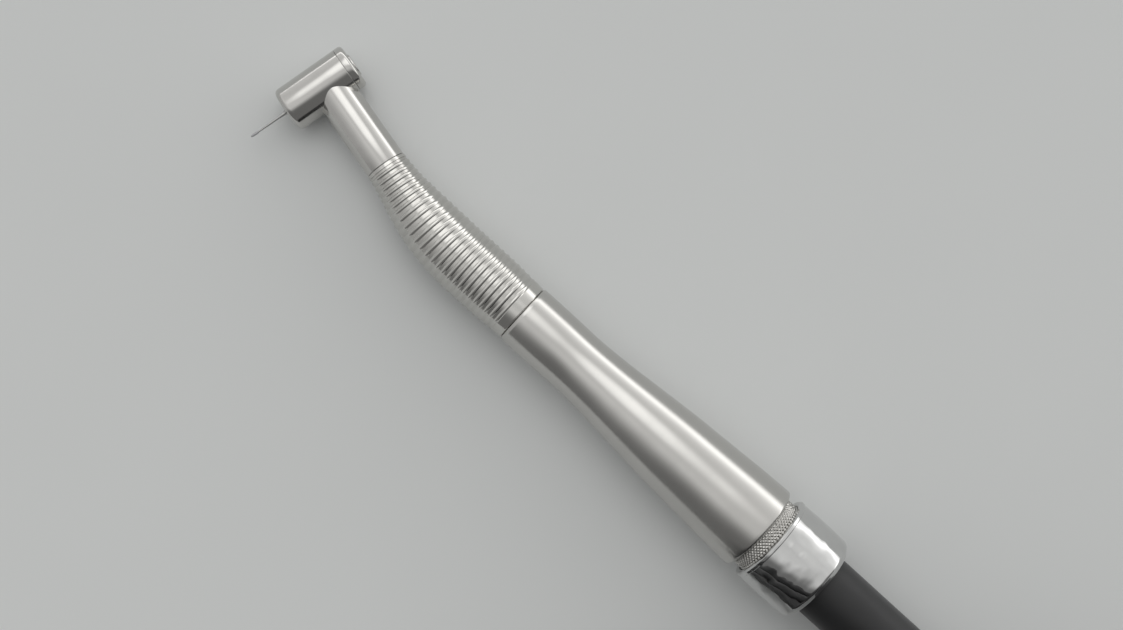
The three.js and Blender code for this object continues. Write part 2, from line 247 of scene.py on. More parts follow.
# ---- Node groups -----------------------------------------------------------------------------
class Board:
    """Lays and links nodes in one shader tree."""

    def __init__(self, tree: bpy.types.NodeTree) -> None:
        """Takes the tree to lay nodes in."""
        self.tree = tree

    def add(self, kind: str, **settings: object) -> bpy.types.Node:
        """Adds a node.

        Args:
            kind: The node's type.
            **settings: Its properties.

        Returns:
            The node.
        """
        node = self.tree.nodes.new(kind)
        for name, value in settings.items():
            setattr(node, name, value)
        return node

    def feed(self, socket: bpy.types.NodeSocket, value: object) -> None:
        """Links another node's output into a socket, or sets the socket's own value."""
        if isinstance(value, bpy.types.NodeSocket):
            self.tree.links.new(value, socket)
        else:
            socket.default_value = value

    def math(self, operation: str, first: object, second: object = 0.0, third: object = 0.0,
             clamp: bool = False) -> bpy.types.NodeSocket:
        """A Math node.

        Args:
            operation: What it works out.
            first: Its first value or link.
            second: Its second.
            third: Its third.
            clamp: Whether the result is kept from 0 to 1.

        Returns:
            Its output.
        """
        node = self.add("ShaderNodeMath", operation=operation, use_clamp=clamp)
        for socket, value in zip(node.inputs, (first, second, third)):
            self.feed(socket, value)
        return node.outputs[0]

    def spread(self, value: object, low: float, high: float,
               kind: str = "SMOOTHSTEP") -> bpy.types.NodeSocket:
        """Maps low to high onto 0 to 1, with its ends eased unless the kind says otherwise."""
        node = self.add("ShaderNodeMapRange", interpolation_type=kind)
        for socket, number in zip(node.inputs[:3], (value, low, high)):
            self.feed(socket, number)
        return node.outputs[0]

    def scaled(self, vector: object, size: object) -> bpy.types.NodeSocket:
        """A vector times a number."""
        node = self.add("ShaderNodeVectorMath", operation="SCALE")
        self.feed(node.inputs[0], vector)
        self.feed(node.inputs["Scale"], size)
        return node.outputs[0]

    def cloud(self, vector: object, scale: float, detail: float = 2.0,
              rough: float = 0.5) -> bpy.types.NodeSocket:
        """A noise texture's value."""
        node = self.add("ShaderNodeTexNoise")
        self.feed(node.inputs["Vector"], vector)
        self.feed(node.inputs["Scale"], scale)
        self.feed(node.inputs["Detail"], detail)
        self.feed(node.inputs["Roughness"], rough)
        return node.outputs["Fac"]

    def blend(self, share: object, first: object, second: object) -> bpy.types.NodeSocket:
        """A mix of two colours."""
        node = self.add("ShaderNodeMix", data_type="RGBA")
        colours = [socket for socket in node.inputs if socket.type == "RGBA"]
        self.feed(node.inputs[0], share)
        self.feed(colours[0], first)
        self.feed(colours[1], second)
        return next(socket for socket in node.outputs if socket.type == "RGBA")

    def bump(self, height: object, distance: float,
             under: bpy.types.NodeSocket | None = None) -> bpy.types.NodeSocket:
        """A bump's normal.

        Args:
            height: The height, from 0 to 1.
            distance: What a height of 1 stands for, mm.
            under: The normal that it is laid over, if any.

        Returns:
            Its output.
        """
        node = self.add("ShaderNodeBump")
        node.inputs["Strength"].default_value = 1.0
        node.inputs["Distance"].default_value = distance * MM
        self.feed(node.inputs["Height"], height)
        if under is not None:
            self.feed(node.inputs["Normal"], under)
        return node.outputs[0]


class Effect:
    """A shader node group that several finishes share, built the first time it is asked for."""

    name: str = ""
    takes: tuple[tuple[str, str], ...] = ()
    gives: tuple[tuple[str, str], ...] = ()

    @classmethod
    def tree(cls) -> bpy.types.NodeTree:
        """The group, built if it isn't there yet."""
        found = bpy.data.node_groups.get(cls.name)
        if found:
            return found
        tree = bpy.data.node_groups.new(cls.name, "ShaderNodeTree")
        for way, sockets in (("INPUT", cls.takes), ("OUTPUT", cls.gives)):
            for socket, kind in sockets:
                tree.interface.new_socket(name=socket, in_out=way, socket_type=kind)
        board = Board(tree)
        cls.lay(board, board.add("NodeGroupInput"), board.add("NodeGroupOutput"))
        return tree

    @classmethod
    def lay(cls, board: Board, enter: bpy.types.Node, leave: bpy.types.Node) -> None:
        """Lays the group's own nodes between its input and output."""
        raise NotImplementedError

    @classmethod
    def place(cls, board: Board, **values: object) -> dict[str, bpy.types.NodeSocket]:
        """Puts the group in a material.

        Args:
            board: The material's nodes.
            **values: The group's inputs by name.

        Returns:
            Its outputs by name.
        """
        node = board.add("ShaderNodeGroup", node_tree=cls.tree())
        for name, value in values.items():
            board.feed(node.inputs[name], value)
        return {socket.name: socket for socket in node.outputs}


class LatheMarks(Effect):
    """Fine lines round a turned piece, finer along its length and across its end faces."""

    name = "lathe marks"
    takes = (("Turned", "NodeSocketVector"), ("Spacing", "NodeSocketFloat"))
    gives = (("Lines", "NodeSocketFloat"), ("Bands", "NodeSocketFloat"))

    @classmethod
    def lay(cls, board: Board, enter: bpy.types.Node, leave: bpy.types.Node) -> None:
        """Lines read the distance from the axis and the distance along it."""
        parts = board.add("ShaderNodeSeparateXYZ")
        board.feed(parts.inputs[0], enter.outputs["Turned"])
        squares = board.math("MULTIPLY_ADD", parts.outputs[0], parts.outputs[0],
                             board.math("MULTIPLY", parts.outputs[1], parts.outputs[1]))
        radius = board.math("SQRT", squares)
        where = board.add("ShaderNodeCombineXYZ")
        board.feed(where.inputs[0], board.math("DIVIDE", radius, enter.outputs["Spacing"]))
        board.feed(where.inputs[2],
                   board.math("DIVIDE", parts.outputs[2], enter.outputs["Spacing"]))
        board.feed(leave.inputs["Lines"], board.cloud(where.outputs[0], 1.0, 3.0, 0.65))
        board.feed(leave.inputs["Bands"], board.cloud(where.outputs[0], 0.09, 2.0, 0.5))


class Handling(Effect):
    """What handling leaves on a surface: wide smears, and small specks and nicks."""

    name = "handling"
    takes = (("Place", "NodeSocketVector"), ("Size", "NodeSocketFloat"))
    gives = (("Smears", "NodeSocketFloat"), ("Specks", "NodeSocketFloat"))

    @classmethod
    def lay(cls, board: Board, enter: bpy.types.Node, leave: bpy.types.Node) -> None:
        """Smears are soft clouds, and specks the peaks of a fine one."""
        where = board.scaled(enter.outputs["Place"],
                             board.math("DIVIDE", 1.0, enter.outputs["Size"]))
        smears = board.cloud(where, 1.0, 4.0, 0.55)
        board.feed(leave.inputs["Smears"], board.spread(smears, 0.38, 0.68))
        specks = board.cloud(where, 22.0, 2.0, 0.4)
        board.feed(leave.inputs["Specks"], board.spread(specks, 0.7, 0.78))


class GrooveShade(Effect):
    """Painted shade and dullness in the low parts of a ringed, knurled or threaded surface."""

    name = "painted groove shade"
    takes = (("Relief", "NodeSocketFloat"), ("Smears", "NodeSocketFloat"))
    gives = (("GrooveShade", "NodeSocketFloat"),)

    @classmethod
    def lay(cls, board: Board, enter: bpy.types.Node, leave: bpy.types.Node) -> None:
        """The lower the surface, the more painted shade and dullness there is, and smears add to
        it.
        """
        low = board.spread(enter.outputs["Relief"], 0.75, 0.05)
        uneven = board.math("MULTIPLY_ADD", enter.outputs["Smears"], 0.5, 0.5)
        board.feed(leave.inputs["GrooveShade"], board.math("MULTIPLY", low, uneven, clamp=True))


class RubberSkin(Effect):
    """The skin of extruded rubber: faint lengthways tone, a fine grain and a little dust."""

    name = "rubber skin"
    takes = (("Place", "NodeSocketVector"),)
    gives = (("Tone", "NodeSocketFloat"), ("Grain", "NodeSocketFloat"), ("Dust", "NodeSocketFloat"))

    @classmethod
    def lay(cls, board: Board, enter: bpy.types.Node, leave: bpy.types.Node) -> None:
        """Tone is wide, grain a tenth of a millimetre, and dust its rare peaks."""
        board.feed(leave.inputs["Tone"], board.cloud(enter.outputs["Place"], 0.16, 3.0, 0.6))
        board.feed(leave.inputs["Grain"], board.cloud(enter.outputs["Place"], 7.0, 3.0, 0.6))
        dust = board.cloud(enter.outputs["Place"], 2.6, 5.0, 0.7)
        board.feed(leave.inputs["Dust"], board.spread(dust, 0.62, 0.74))


# ---- Finishes --------------------------------------------------------------------------------
def finish_place(board: Board, pattern: Pattern) -> bpy.types.NodeSocket:
    """Where a finish is on its piece, in millimetres.

    Args:
        board: The material's nodes.
        pattern: What the place is read from.

    Returns:
        The place as a vector.
    """
    if pattern is Pattern.LATHE:
        return board.add("ShaderNodeAttribute", attribute_name="turned").outputs["Vector"]
    return board.scaled(board.add("ShaderNodeTexCoord").outputs["Object"], 1 / MM)


@dataclass(frozen=True)
class Finish:
    """A finish of the handpiece.

    Attributes:
        name: The material's name.
        slot: The record's material slot it stands for.
    """

    name: str
    slot: str

    def material(self) -> bpy.types.Material:
        """The finish as a material, made the first time it is used."""
        made = bpy.data.materials.get(self.name)
        if made is None:
            made = bpy.data.materials.new(self.name)
            made.use_nodes = True
            self.lay(Board(made.node_tree), made.node_tree.nodes["Principled BSDF"])
        return made

    def lay(self, board: Board, shader: bpy.types.Node) -> None:
        """Lays the finish's own nodes.

        Args:
            board: The material's nodes.
            shader: Its shader.
        """
        raise NotImplementedError


@dataclass(frozen=True)
class MetalFinish(Finish):
    """A metal, plain or plated, with its machining and its wear.

    Attributes:
        colour: The metal's colour, linear.
        roughness: How dull it is where clean.
        spacing: Distance between lathe marks, mm.
        marks: How much the marks change the roughness.
        depth: How deep the marks are, mm.
        smears: How much handling dulls it.
        smear_size: Width of a smear, mm.
        groove_shade: How much painted shade darkens its low parts, and how dull they are.
        groove_shade_colour: The colour of that painted shade.
        waves: Height of the slow waves that buffing leaves, mm.
        pattern: What the marks follow.
    """

    colour: tuple[float, float, float]
    roughness: float
    spacing: float = 0.12
    marks: float = 0.06
    depth: float = 0.0015
    smears: float = 0.05
    smear_size: float = 5.0
    groove_shade: float = 0.0
    groove_shade_colour: tuple[float, float, float] = (0.16, 0.15, 0.135)
    waves: float = 0.0
    pattern: Pattern = Pattern.LATHE

    def lay(self, board: Board, shader: bpy.types.Node) -> None:
        """Lays the metal with its lathe marks, its wear, and painted shade with dullness in its low
        parts.
        """
        shader.inputs["Metallic"].default_value = 1.0
        place = finish_place(board, self.pattern)
        marks = LatheMarks.place(board, Turned=place, Spacing=self.spacing)
        wear = Handling.place(board, Place=place, Size=self.smear_size)
        tint = board.blend(board.math("MULTIPLY", wear["Smears"], SMEAR_TINT),
                           (*self.colour, 1), (*(SMEARED * c for c in self.colour), 1))
        dull = board.math("MULTIPLY_ADD", marks["Lines"], self.marks,
                          self.roughness - self.marks / 2)
        for mask in ("Smears", "Specks"):
            dull = board.math("MULTIPLY_ADD", wear[mask], self.smears, dull)
        # Painted shade: by the relief, low parts are blended toward a dark colour and made duller.
        if self.groove_shade:
            relief = board.add("ShaderNodeAttribute", attribute_name="relief").outputs["Fac"]
            groove_shade = GrooveShade.place(board, Relief=relief, Smears=wear["Smears"])["GrooveShade"]
            share = board.math("MULTIPLY", groove_shade, self.groove_shade)
            tint = board.blend(share, tint, (*self.groove_shade_colour, 1))
            dull = board.math("MULTIPLY_ADD", share, GROOVE_DULLNESS, dull)
        board.feed(shader.inputs["Base Color"], tint)
        board.feed(shader.inputs["Roughness"], board.math("MAXIMUM", dull, LEAST_ROUGHNESS))
        swell = board.bump(board.cloud(place, 0.3, 1.0, 0.3), self.waves) if self.waves else None
        height = board.math("MULTIPLY_ADD", marks["Bands"], BAND_HEIGHT, marks["Lines"])
        height = board.math("MULTIPLY_ADD", wear["Specks"], NICK_HEIGHT, height)
        board.feed(shader.inputs["Normal"], board.bump(height, self.depth, swell))


@dataclass(frozen=True)
class RubberFinish(Finish):
    """Rubber or phenolic, with its tone, grain and dust.

    Attributes:
        colour: Its colour, linear.
        pale: The colour of its paler patches and dust.
        roughness: How dull it is.
        sheen: The soft light that it takes at a glancing view.
        grain: Height of its grain, mm.
    """

    colour: tuple[float, float, float]
    pale: tuple[float, float, float]
    roughness: float
    sheen: float = 0.0
    grain: float = 0.004

    def lay(self, board: Board, shader: bpy.types.Node) -> None:
        """Lays the rubber with its skin."""
        shader.inputs["Specular IOR Level"].default_value = 0.5
        shader.inputs["Sheen Weight"].default_value = self.sheen
        shader.inputs["Sheen Roughness"].default_value = 0.5
        skin = RubberSkin.place(board, Place=finish_place(board, Pattern.OBJECT))
        share = board.math("MULTIPLY_ADD", skin["Dust"], DUST_TINT,
                           board.math("MULTIPLY", skin["Tone"], TONE_TINT))
        board.feed(shader.inputs["Base Color"],
                   board.blend(share, (*self.colour, 1), (*self.pale, 1)))
        dull = board.math("MULTIPLY_ADD", skin["Grain"], GRAIN_DULLNESS,
                          self.roughness - GRAIN_DULLNESS / 2)
        dull = board.math("MULTIPLY_ADD", skin["Dust"], DUST_DULLNESS, dull)
        board.feed(shader.inputs["Roughness"], dull)
        board.feed(shader.inputs["Normal"], board.bump(skin["Grain"], self.grain))


@dataclass(frozen=True)
class GritFinish(Finish):
    """Grit bonded to steel: dull metal between pale, sharp grains.

    Attributes:
        metal: The metal's colour, linear.
        grains: The grains' colour.
        fineness: Grains to the millimetre.
        bite: How far the grains stand out, mm.
    """

    metal: tuple[float, float, float] = (0.45, 0.45, 0.46)
    grains: tuple[float, float, float] = (0.85, 0.86, 0.87)
    fineness: float = 14.0
    bite: float = 0.02

    def lay(self, board: Board, shader: bpy.types.Node) -> None:
        """Lays the grains in their metal."""
        grains = board.add("ShaderNodeTexVoronoi")
        board.feed(grains.inputs["Vector"], finish_place(board, Pattern.LATHE))
        grains.inputs["Scale"].default_value = self.fineness
        share = board.spread(grains.outputs["Distance"], 0.5, 0.2)
        board.feed(shader.inputs["Base Color"],
                   board.blend(share, (*self.metal, 1), (*self.grains, 1)))
        board.feed(shader.inputs["Metallic"], board.math("MULTIPLY_ADD", share, -0.8, 0.9))
        board.feed(shader.inputs["Roughness"], board.math("MULTIPLY_ADD", share, -0.25, 0.6))
        board.feed(shader.inputs["Normal"], board.bump(share, self.bite))


POLISHED = MetalFinish("polished steel", "polished_steel", (0.60, 0.59, 0.57), 0.13,
                       spacing=0.09, marks=0.04, depth=0.0005, smears=0.05)
# The ringed finish and the two knurled ones darken their low parts with painted shade.
RINGED = MetalFinish("ringed polished steel", "polished_steel", (0.62, 0.61, 0.585), 0.11,
                     spacing=0.07, marks=0.05, depth=0.0006, smears=0.05, groove_shade=0.16,
                     groove_shade_colour=(0.22, 0.21, 0.19))
SATIN = MetalFinish("satin steel", "satin_steel", (0.585, 0.575, 0.555), 0.19,
                    spacing=0.06, marks=0.08, depth=0.0005, smears=0.035, smear_size=9.0)
CHROME = MetalFinish("chrome plate", "chrome", (0.66, 0.66, 0.655), 0.035, spacing=0.2,
                     marks=0.012, depth=0.0003, smears=0.03, smear_size=4.0, waves=0.28)
KNURLED = MetalFinish("knurled steel", "steel", (0.58, 0.57, 0.55), 0.13, spacing=0.15,
                      marks=0.06, depth=0.001, groove_shade=0.35)
KNURLED_CHROME = MetalFinish("knurled chrome", "chrome", (0.65, 0.65, 0.645), 0.08, spacing=0.15,
                             marks=0.04, depth=0.001, groove_shade=0.6)
TURNED_STEEL = MetalFinish("turned steel", "steel", (0.52, 0.52, 0.51), 0.2, spacing=0.1,
                           marks=0.14, depth=0.002)
GROUND_STEEL = MetalFinish("ground bearing steel", "steel", (0.57, 0.57, 0.565), 0.09,
                           spacing=0.05, marks=0.05, depth=0.0004)
DRAWN_STEEL = MetalFinish("drawn steel tube", "steel", (0.5, 0.5, 0.49), 0.24, spacing=0.3,
                          marks=0.1, depth=0.002, pattern=Pattern.OBJECT)
SPRING = MetalFinish("spring steel", "spring_steel", (0.42, 0.42, 0.41), 0.24, spacing=0.2,
                     marks=0.12, depth=0.001)
BRASS = MetalFinish("turned brass", "brass", (0.60, 0.42, 0.19), 0.24, spacing=0.12, marks=0.14,
                    depth=0.002, smears=0.1, smear_size=3.0)
ALUMINIUM = MetalFinish("satin aluminium", "aluminium", (0.66, 0.665, 0.67), 0.3, spacing=0.12,
                        marks=0.12, depth=0.0015)
HOSE_RUBBER = RubberFinish("hose rubber", "hose_rubber", (0.010, 0.010, 0.011),
                           (0.032, 0.032, 0.033), 0.5, sheen=0.12, grain=0.006)
SEAL_RUBBER = RubberFinish("seal rubber", "nitrile", (0.012, 0.012, 0.012),
                           (0.03, 0.03, 0.03), 0.42, grain=0.003)
PHENOLIC = RubberFinish("cage phenolic", "phenolic", (0.30, 0.145, 0.05),
                        (0.46, 0.27, 0.12), 0.5, grain=0.008)
GRIT = GritFinish("diamond grit", "diamond")


# ---- Making pieces ---------------------------------------------------------------------------
def rounded(outline: Outline, closed: bool, arc_points: int) -> list[tuple[float, float]]:
    """Rounds the corners of an outline that ask for it.

    Args:
        outline: (radius, height) points, with the corner's own radius third where it is rounded.
        closed: Whether the last point joins the first.
        arc_points: Points on each rounded corner.

    Returns:
        The outline's points, arcs included.
    """
    points: list[tuple[float, float]] = []
    for i, corner in enumerate(outline):
        here = Vector(corner[:2])
        ends = not closed and i in (0, len(outline) - 1)
        if len(corner) < 3 or ends:
            points.append(tuple(here))
            continue
        before = Vector(outline[i - 1][:2]) - here
        after = Vector(outline[(i + 1) % len(outline)][:2]) - here
        half = before.angle(after) / 2
        if half > STRAIGHT:
            points.append(tuple(here))
            continue
        reach = min(corner[2] / math.tan(half), LONGEST_REACH * before.length,
                    LONGEST_REACH * after.length)
        back, on = before.normalized(), after.normalized()
        middle = here + (back + on).normalized() * reach / math.cos(half)
        start, stop = here + back * reach - middle, here + on * reach - middle
        for k in range(arc_points + 1):
            points.append(tuple(middle + start.length * start.slerp(stop, k / arc_points)))
    return points


def turned(outline: Outline, steps: int = CASE_STEPS, closed: bool = True,
           arc_points: int = 5) -> bmesh.types.BMesh:
    """A shape turned about Z.

    Args:
        outline: (radius, height) points, a third number rounding that corner.
        steps: Steps round the axis.
        closed: Whether the outline is a loop; if not, it runs from axis to axis.
        arc_points: Points on each rounded corner.

    Returns:
        The shape, its faces outwards.
    """
    mesh = bmesh.new()
    ring = [mesh.verts.new((r, 0.0, h)) for r, h in rounded(outline, closed, arc_points)]
    pairs = list(zip(ring, ring[1:])) + ([(ring[-1], ring[0])] if closed else [])
    edges = [mesh.edges.new(pair) for pair in pairs]
    bmesh.ops.spin(mesh, geom=[*ring, *edges], cent=(0, 0, 0), axis=(0, 0, 1), dvec=(0, 0, 0),
                   angle=math.tau, steps=steps, use_merge=True, use_duplicate=False)
    return sealed(mesh)


def sealed(mesh: bmesh.types.BMesh) -> bmesh.types.BMesh:
    """Merges what meets and turns the faces outwards.

    Args:
        mesh: The shape.

    Returns:
        The same shape.
    """
    bmesh.ops.remove_doubles(mesh, verts=mesh.verts, dist=MERGE_DISTANCE)
    bmesh.ops.recalc_face_normals(mesh, faces=mesh.faces)
    return mesh


def part_turned(outline: Outline, start: float, angle: float, steps: int) -> bmesh.types.BMesh:
    """A shape turned through part of a circle, closed at both ends.

    Args:
        outline: (radius, height) points of its section.
        start: Where it starts round Z, in degrees.
        angle: How far it goes round, in degrees.
        steps: Steps along it.

    Returns:
        The shape, its faces outwards.
    """
    mesh = bmesh.new()
    ring = [mesh.verts.new((r, 0.0, h)) for r, h in rounded(outline, True, 3)]
    section = mesh.faces.new(ring)
    bmesh.ops.rotate(mesh, verts=ring, cent=(0, 0, 0),
                     matrix=Matrix.Rotation(math.radians(start), 3, "Z"))
    bmesh.ops.spin(mesh, geom=[*ring, *section.edges, section], cent=(0, 0, 0), axis=(0, 0, 1),
                   dvec=(0, 0, 0), angle=math.radians(angle), steps=steps, use_duplicate=False)
    return sealed(mesh)


def added(base: bmesh.types.BMesh, *others: bmesh.types.BMesh) -> bmesh.types.BMesh:
    """Puts other shapes into the first as loose parts of it.

    Args:
        base: The shape that takes them.
        *others: The shapes, which are freed.

    Returns:
        The first shape.
    """
    for other in others:
        holder = bpy.data.meshes.new("holder")
        other.to_mesh(holder)
        other.free()
        base.from_mesh(holder)
        bpy.data.meshes.remove(holder)
    return base


def moved(mesh: bmesh.types.BMesh, matrix: Matrix) -> bmesh.types.BMesh:
    """The shape, moved by a matrix."""
    bmesh.ops.transform(mesh, matrix=matrix, verts=mesh.verts)
    return mesh


def ball(radius: float, centre: Vector, detail: int = 3) -> bmesh.types.BMesh:
    """A ball."""
    mesh = bmesh.new()
    bmesh.ops.create_icosphere(mesh, subdivisions=detail, radius=radius,
                               matrix=Matrix.Translation(centre))
    return mesh


def plain_ring(inner: float, outer: float, low: float, high: float, ease: float) -> Outline:
    """The section of a plain ring, its edges eased."""
    return [(inner, low, ease), (outer, low, ease), (outer, high, ease), (inner, high, ease)]


def pipe_at(line: Line, thickness: float, low: float, high: float) -> bmesh.types.BMesh:
    """A pipe along Z in a line's place, its ends eased."""
    section = plain_ring(line.radius - thickness, line.radius, low, high, 0.07)
    return moved(turned(section, SMALL_STEPS, arc_points=3), line.place)


def bored(mesh: bmesh.types.BMesh, low: float, high: float, spare: float) -> bmesh.types.BMesh:
    """Cuts the four lines' holes through a turned shape.

    Args:
        mesh: The shape.
        low: Where the cut starts along Z.
        high: Where it ends.
        spare: Clearance round each pipe.

    Returns:
        The shape with its holes.
    """
    cutter = bmesh.new()
    for line in LINES.values():
        radius = line.radius + spare
        hole = turned([(0, low), (radius, low), (radius, high), (0, high)], HOLE_STEPS,
                      closed=False)
        added(cutter, moved(hole, line.place))
    objects = []
    for name, shape in (("blank", mesh), ("cutter", cutter)):
        data = bpy.data.meshes.new(name)
        shape.to_mesh(data)
        shape.free()
        objects.append(bpy.data.objects.new(name, data))
        bpy.context.scene.collection.objects.link(objects[-1])
    blank, tool = objects
    modifier = blank.modifiers.new("bore", "BOOLEAN")
    modifier.operation, modifier.solver, modifier.object = "DIFFERENCE", "EXACT", tool
    result = blank.evaluated_get(bpy.context.evaluated_depsgraph_get()).to_mesh()
    cut = bmesh.new()
    cut.from_mesh(result)
    blank.to_mesh_clear()
    for spent in objects:
        data = spent.data
        bpy.data.objects.remove(spent)
        bpy.data.meshes.remove(data)
    return cut


@dataclass(frozen=True)
class Ticket:
    """What a finished piece is.

    Attributes:
        name: Its name.
        finish: Its finish.
        body: The body that it rides on.
        stands_for: The CAD nodes that it stands for.
        sharp: Edges that turn more than this many degrees stay crisp.
    """

    name: str
    finish: Finish
    body: Body
    stands_for: tuple[str, ...] = ()
    sharp: float = 32.0


def deliver(mesh: bmesh.types.BMesh, ticket: Ticket, place: Matrix, shape: Shape | None = None,
            relief: Callable[[Vector], float] | None = None) -> bpy.types.Object:
    """Turns a shape into a finished piece of the handpiece.

    Args:
        mesh: The shape, in its sub-assembly's millimetres; it is freed.
        ticket: What the piece is.
        place: The sub-assembly's placing.
        shape: Moves each point before it is placed, such as round the grip's bend.
        relief: How high each point stands on a worked surface, from 0 to 1.

    Returns:
        The piece.
    """
    lathe = mesh.verts.layers.float_vector.new("turned")
    height = mesh.verts.layers.float.new("relief")
    for vert in mesh.verts:
        vert[lathe] = vert.co
        vert[height] = relief(vert.co) if relief else 1.0
    if shape:
        for vert in mesh.verts:
            vert.co = shape(vert.co)
    moved(mesh, place)
    data = bpy.data.meshes.new(ticket.name)
    mesh.to_mesh(data)
    mesh.free()
    data.shade_smooth()
    data.set_sharp_from_angle(angle=math.radians(ticket.sharp))
    data.materials.append(ticket.finish.material())
    piece = bpy.data.objects.new(ticket.name, data)
    bpy.context.scene.collection.objects.link(piece)
    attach(piece, ticket.body.value)
    if ticket.stands_for:
        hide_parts(*ticket.stands_for)
    LOG.info("%s: %d faces, %s, on %s", ticket.name, len(data.polygons), ticket.finish.name,
             ticket.body.value)
    return piece


@dataclass(frozen=True)
class Stations:
    """A smooth curve through (along, radius) points."""

    points: tuple[tuple[float, float], ...]

    def at(self, x: float) -> float:
        """The radius at x.

        Args:
            x: Distance along.

        Returns:
            The radius there.
        """
        pts = self.points
        i = next((k for k in range(len(pts) - 2) if x < pts[k + 1][0]), len(pts) - 2)
        (x0, r0), (x1, r1) = pts[i], pts[i + 1]
        step = x1 - x0
        chord = (r1 - r0) / step
        slopes = []
        for near, far in ((i - 1, i), (i + 1, i + 2)):
            if near < 0 or far >= len(pts):
                slopes.append(chord)
                continue
            side = (pts[far][1] - pts[near][1]) / (pts[far][0] - pts[near][0])
            width = pts[far][0] - pts[near][0]
            slopes.append((chord * width + side * step) / (width + step))
        t = min(max((x - x0) / step, 0.0), 1.0)
        return ((2 * t**3 - 3 * t**2 + 1) * r0 + (t**3 - 2 * t**2 + t) * step * slopes[0]
                + (3 * t**2 - 2 * t**3) * r1 + (t**3 - t**2) * step * slopes[1])


def on_wall(mesh: bmesh.types.BMesh, low: float, high: float,
            crest: float) -> Iterator[tuple[bmesh.types.BMVert, float]]:
    """The points of a turned wall between two heights, each with its radius."""
    for vert in mesh.verts:
        radius = math.hypot(vert.co.x, vert.co.y)
        inside_rows = low - ROW_SLACK <= vert.co.z <= high + ROW_SLACK
        if abs(radius - crest) <= WALL_SLACK and inside_rows:
            yield vert, radius


def threaded(mesh: bmesh.types.BMesh, low: float, high: float, crest: float, depth: float,
             pitch: float, inside: bool = False) -> bmesh.types.BMesh:
    """Works a helical thread into a turned wall that has rows enough for it.

    Args:
        mesh: The shape.
        low: Where the thread starts.
        high: Where it ends.
        crest: Radius of the wall.
        depth: How deep it is cut.
        pitch: Its pitch.
        inside: Whether the wall is a bore, so that the cut goes outwards.

    Returns:
        The shape.
    """
    for vert, radius in on_wall(mesh, low, high, crest):
        phase = (vert.co.z / pitch - math.atan2(vert.co.y, vert.co.x) / math.tau) % 1.0
        ridge = min(1.0, max(0.0, 3.2 * abs(phase - 0.5) - 0.3))
        runout = min(1.0, (vert.co.z - low) / (0.5 * pitch), (high - vert.co.z) / (0.5 * pitch))
        new = crest + (1 if inside else -1) * depth * ridge * max(0.0, runout)
        vert.co.x *= new / radius
        vert.co.y *= new / radius
    return mesh


def knurled(mesh: bmesh.types.BMesh, low: float, high: float, crest: float, depth: float,
            count: int, pitch: float) -> bmesh.types.BMesh:
    """Works a diamond knurl into a turned wall that has rows enough for it.

    Args:
        mesh: The shape.
        low: Where the knurl starts.
        high: Where it ends.
        crest: Radius of the wall.
        depth: How deep it is cut.
        count: Diamonds round it.
        pitch: Length of a diamond.

    Returns:
        The shape.
    """
    for vert, radius in on_wall(mesh, low, high, crest):
        round_it = count * math.atan2(vert.co.y, vert.co.x) / math.tau
        along = vert.co.z / pitch
        cuts = [1 - 2 * abs((round_it + way * along) % 1.0 - 0.5) for way in (-1, 1)]
        new = crest - depth * (1 - min(cuts))
        vert.co.x *= new / radius
        vert.co.y *= new / radius
    return mesh


def round_places(count: int, radius: float, height: float = 0.0) -> list[Vector]:
    """Places evenly round Z at one height."""
    return [Vector((radius * math.cos(k * math.tau / count),
                    radius * math.sin(k * math.tau / count), height)) for k in range(count)]


def wall(radius: float, low: float, high: float, rows: int) -> list[tuple[float, float]]:
    """Points up a straight wall, for a thread or knurl to be worked into."""
    return [(radius, low + (high - low) * k / rows) for k in range(rows + 1)]


def ring_section(inner: float, outer: float, middle: float,
                 points: int = 14) -> list[tuple[float, float]]:
    """The round section of an O-ring.

    Args:
        inner: The ring's inner radius.
        outer: Its outer radius.
        middle: Its place along the axis.
        points: Points round the section.

    Returns:
        The section's outline.
    """
    thick = (outer - inner) / 2
    return [(inner + thick + thick * math.cos(k * math.tau / points),
             middle + thick * math.sin(k * math.tau / points)) for k in range(points)]


def dress(name: str, finish: Finish) -> None:
    """Gives a carried-over CAD node its finish.

    Args:
        name: The node.
        finish: Its finish.
    """
    node = frame["nodes"][name]
    for material_slot in node.material_slots:
        material_slot.link = "OBJECT"
        material_slot.material = finish.material()
    if not node.material_slots:
        node.data.materials.append(finish.material())
    LOG.info("%s: kept from the frame, %s", name, finish.name)


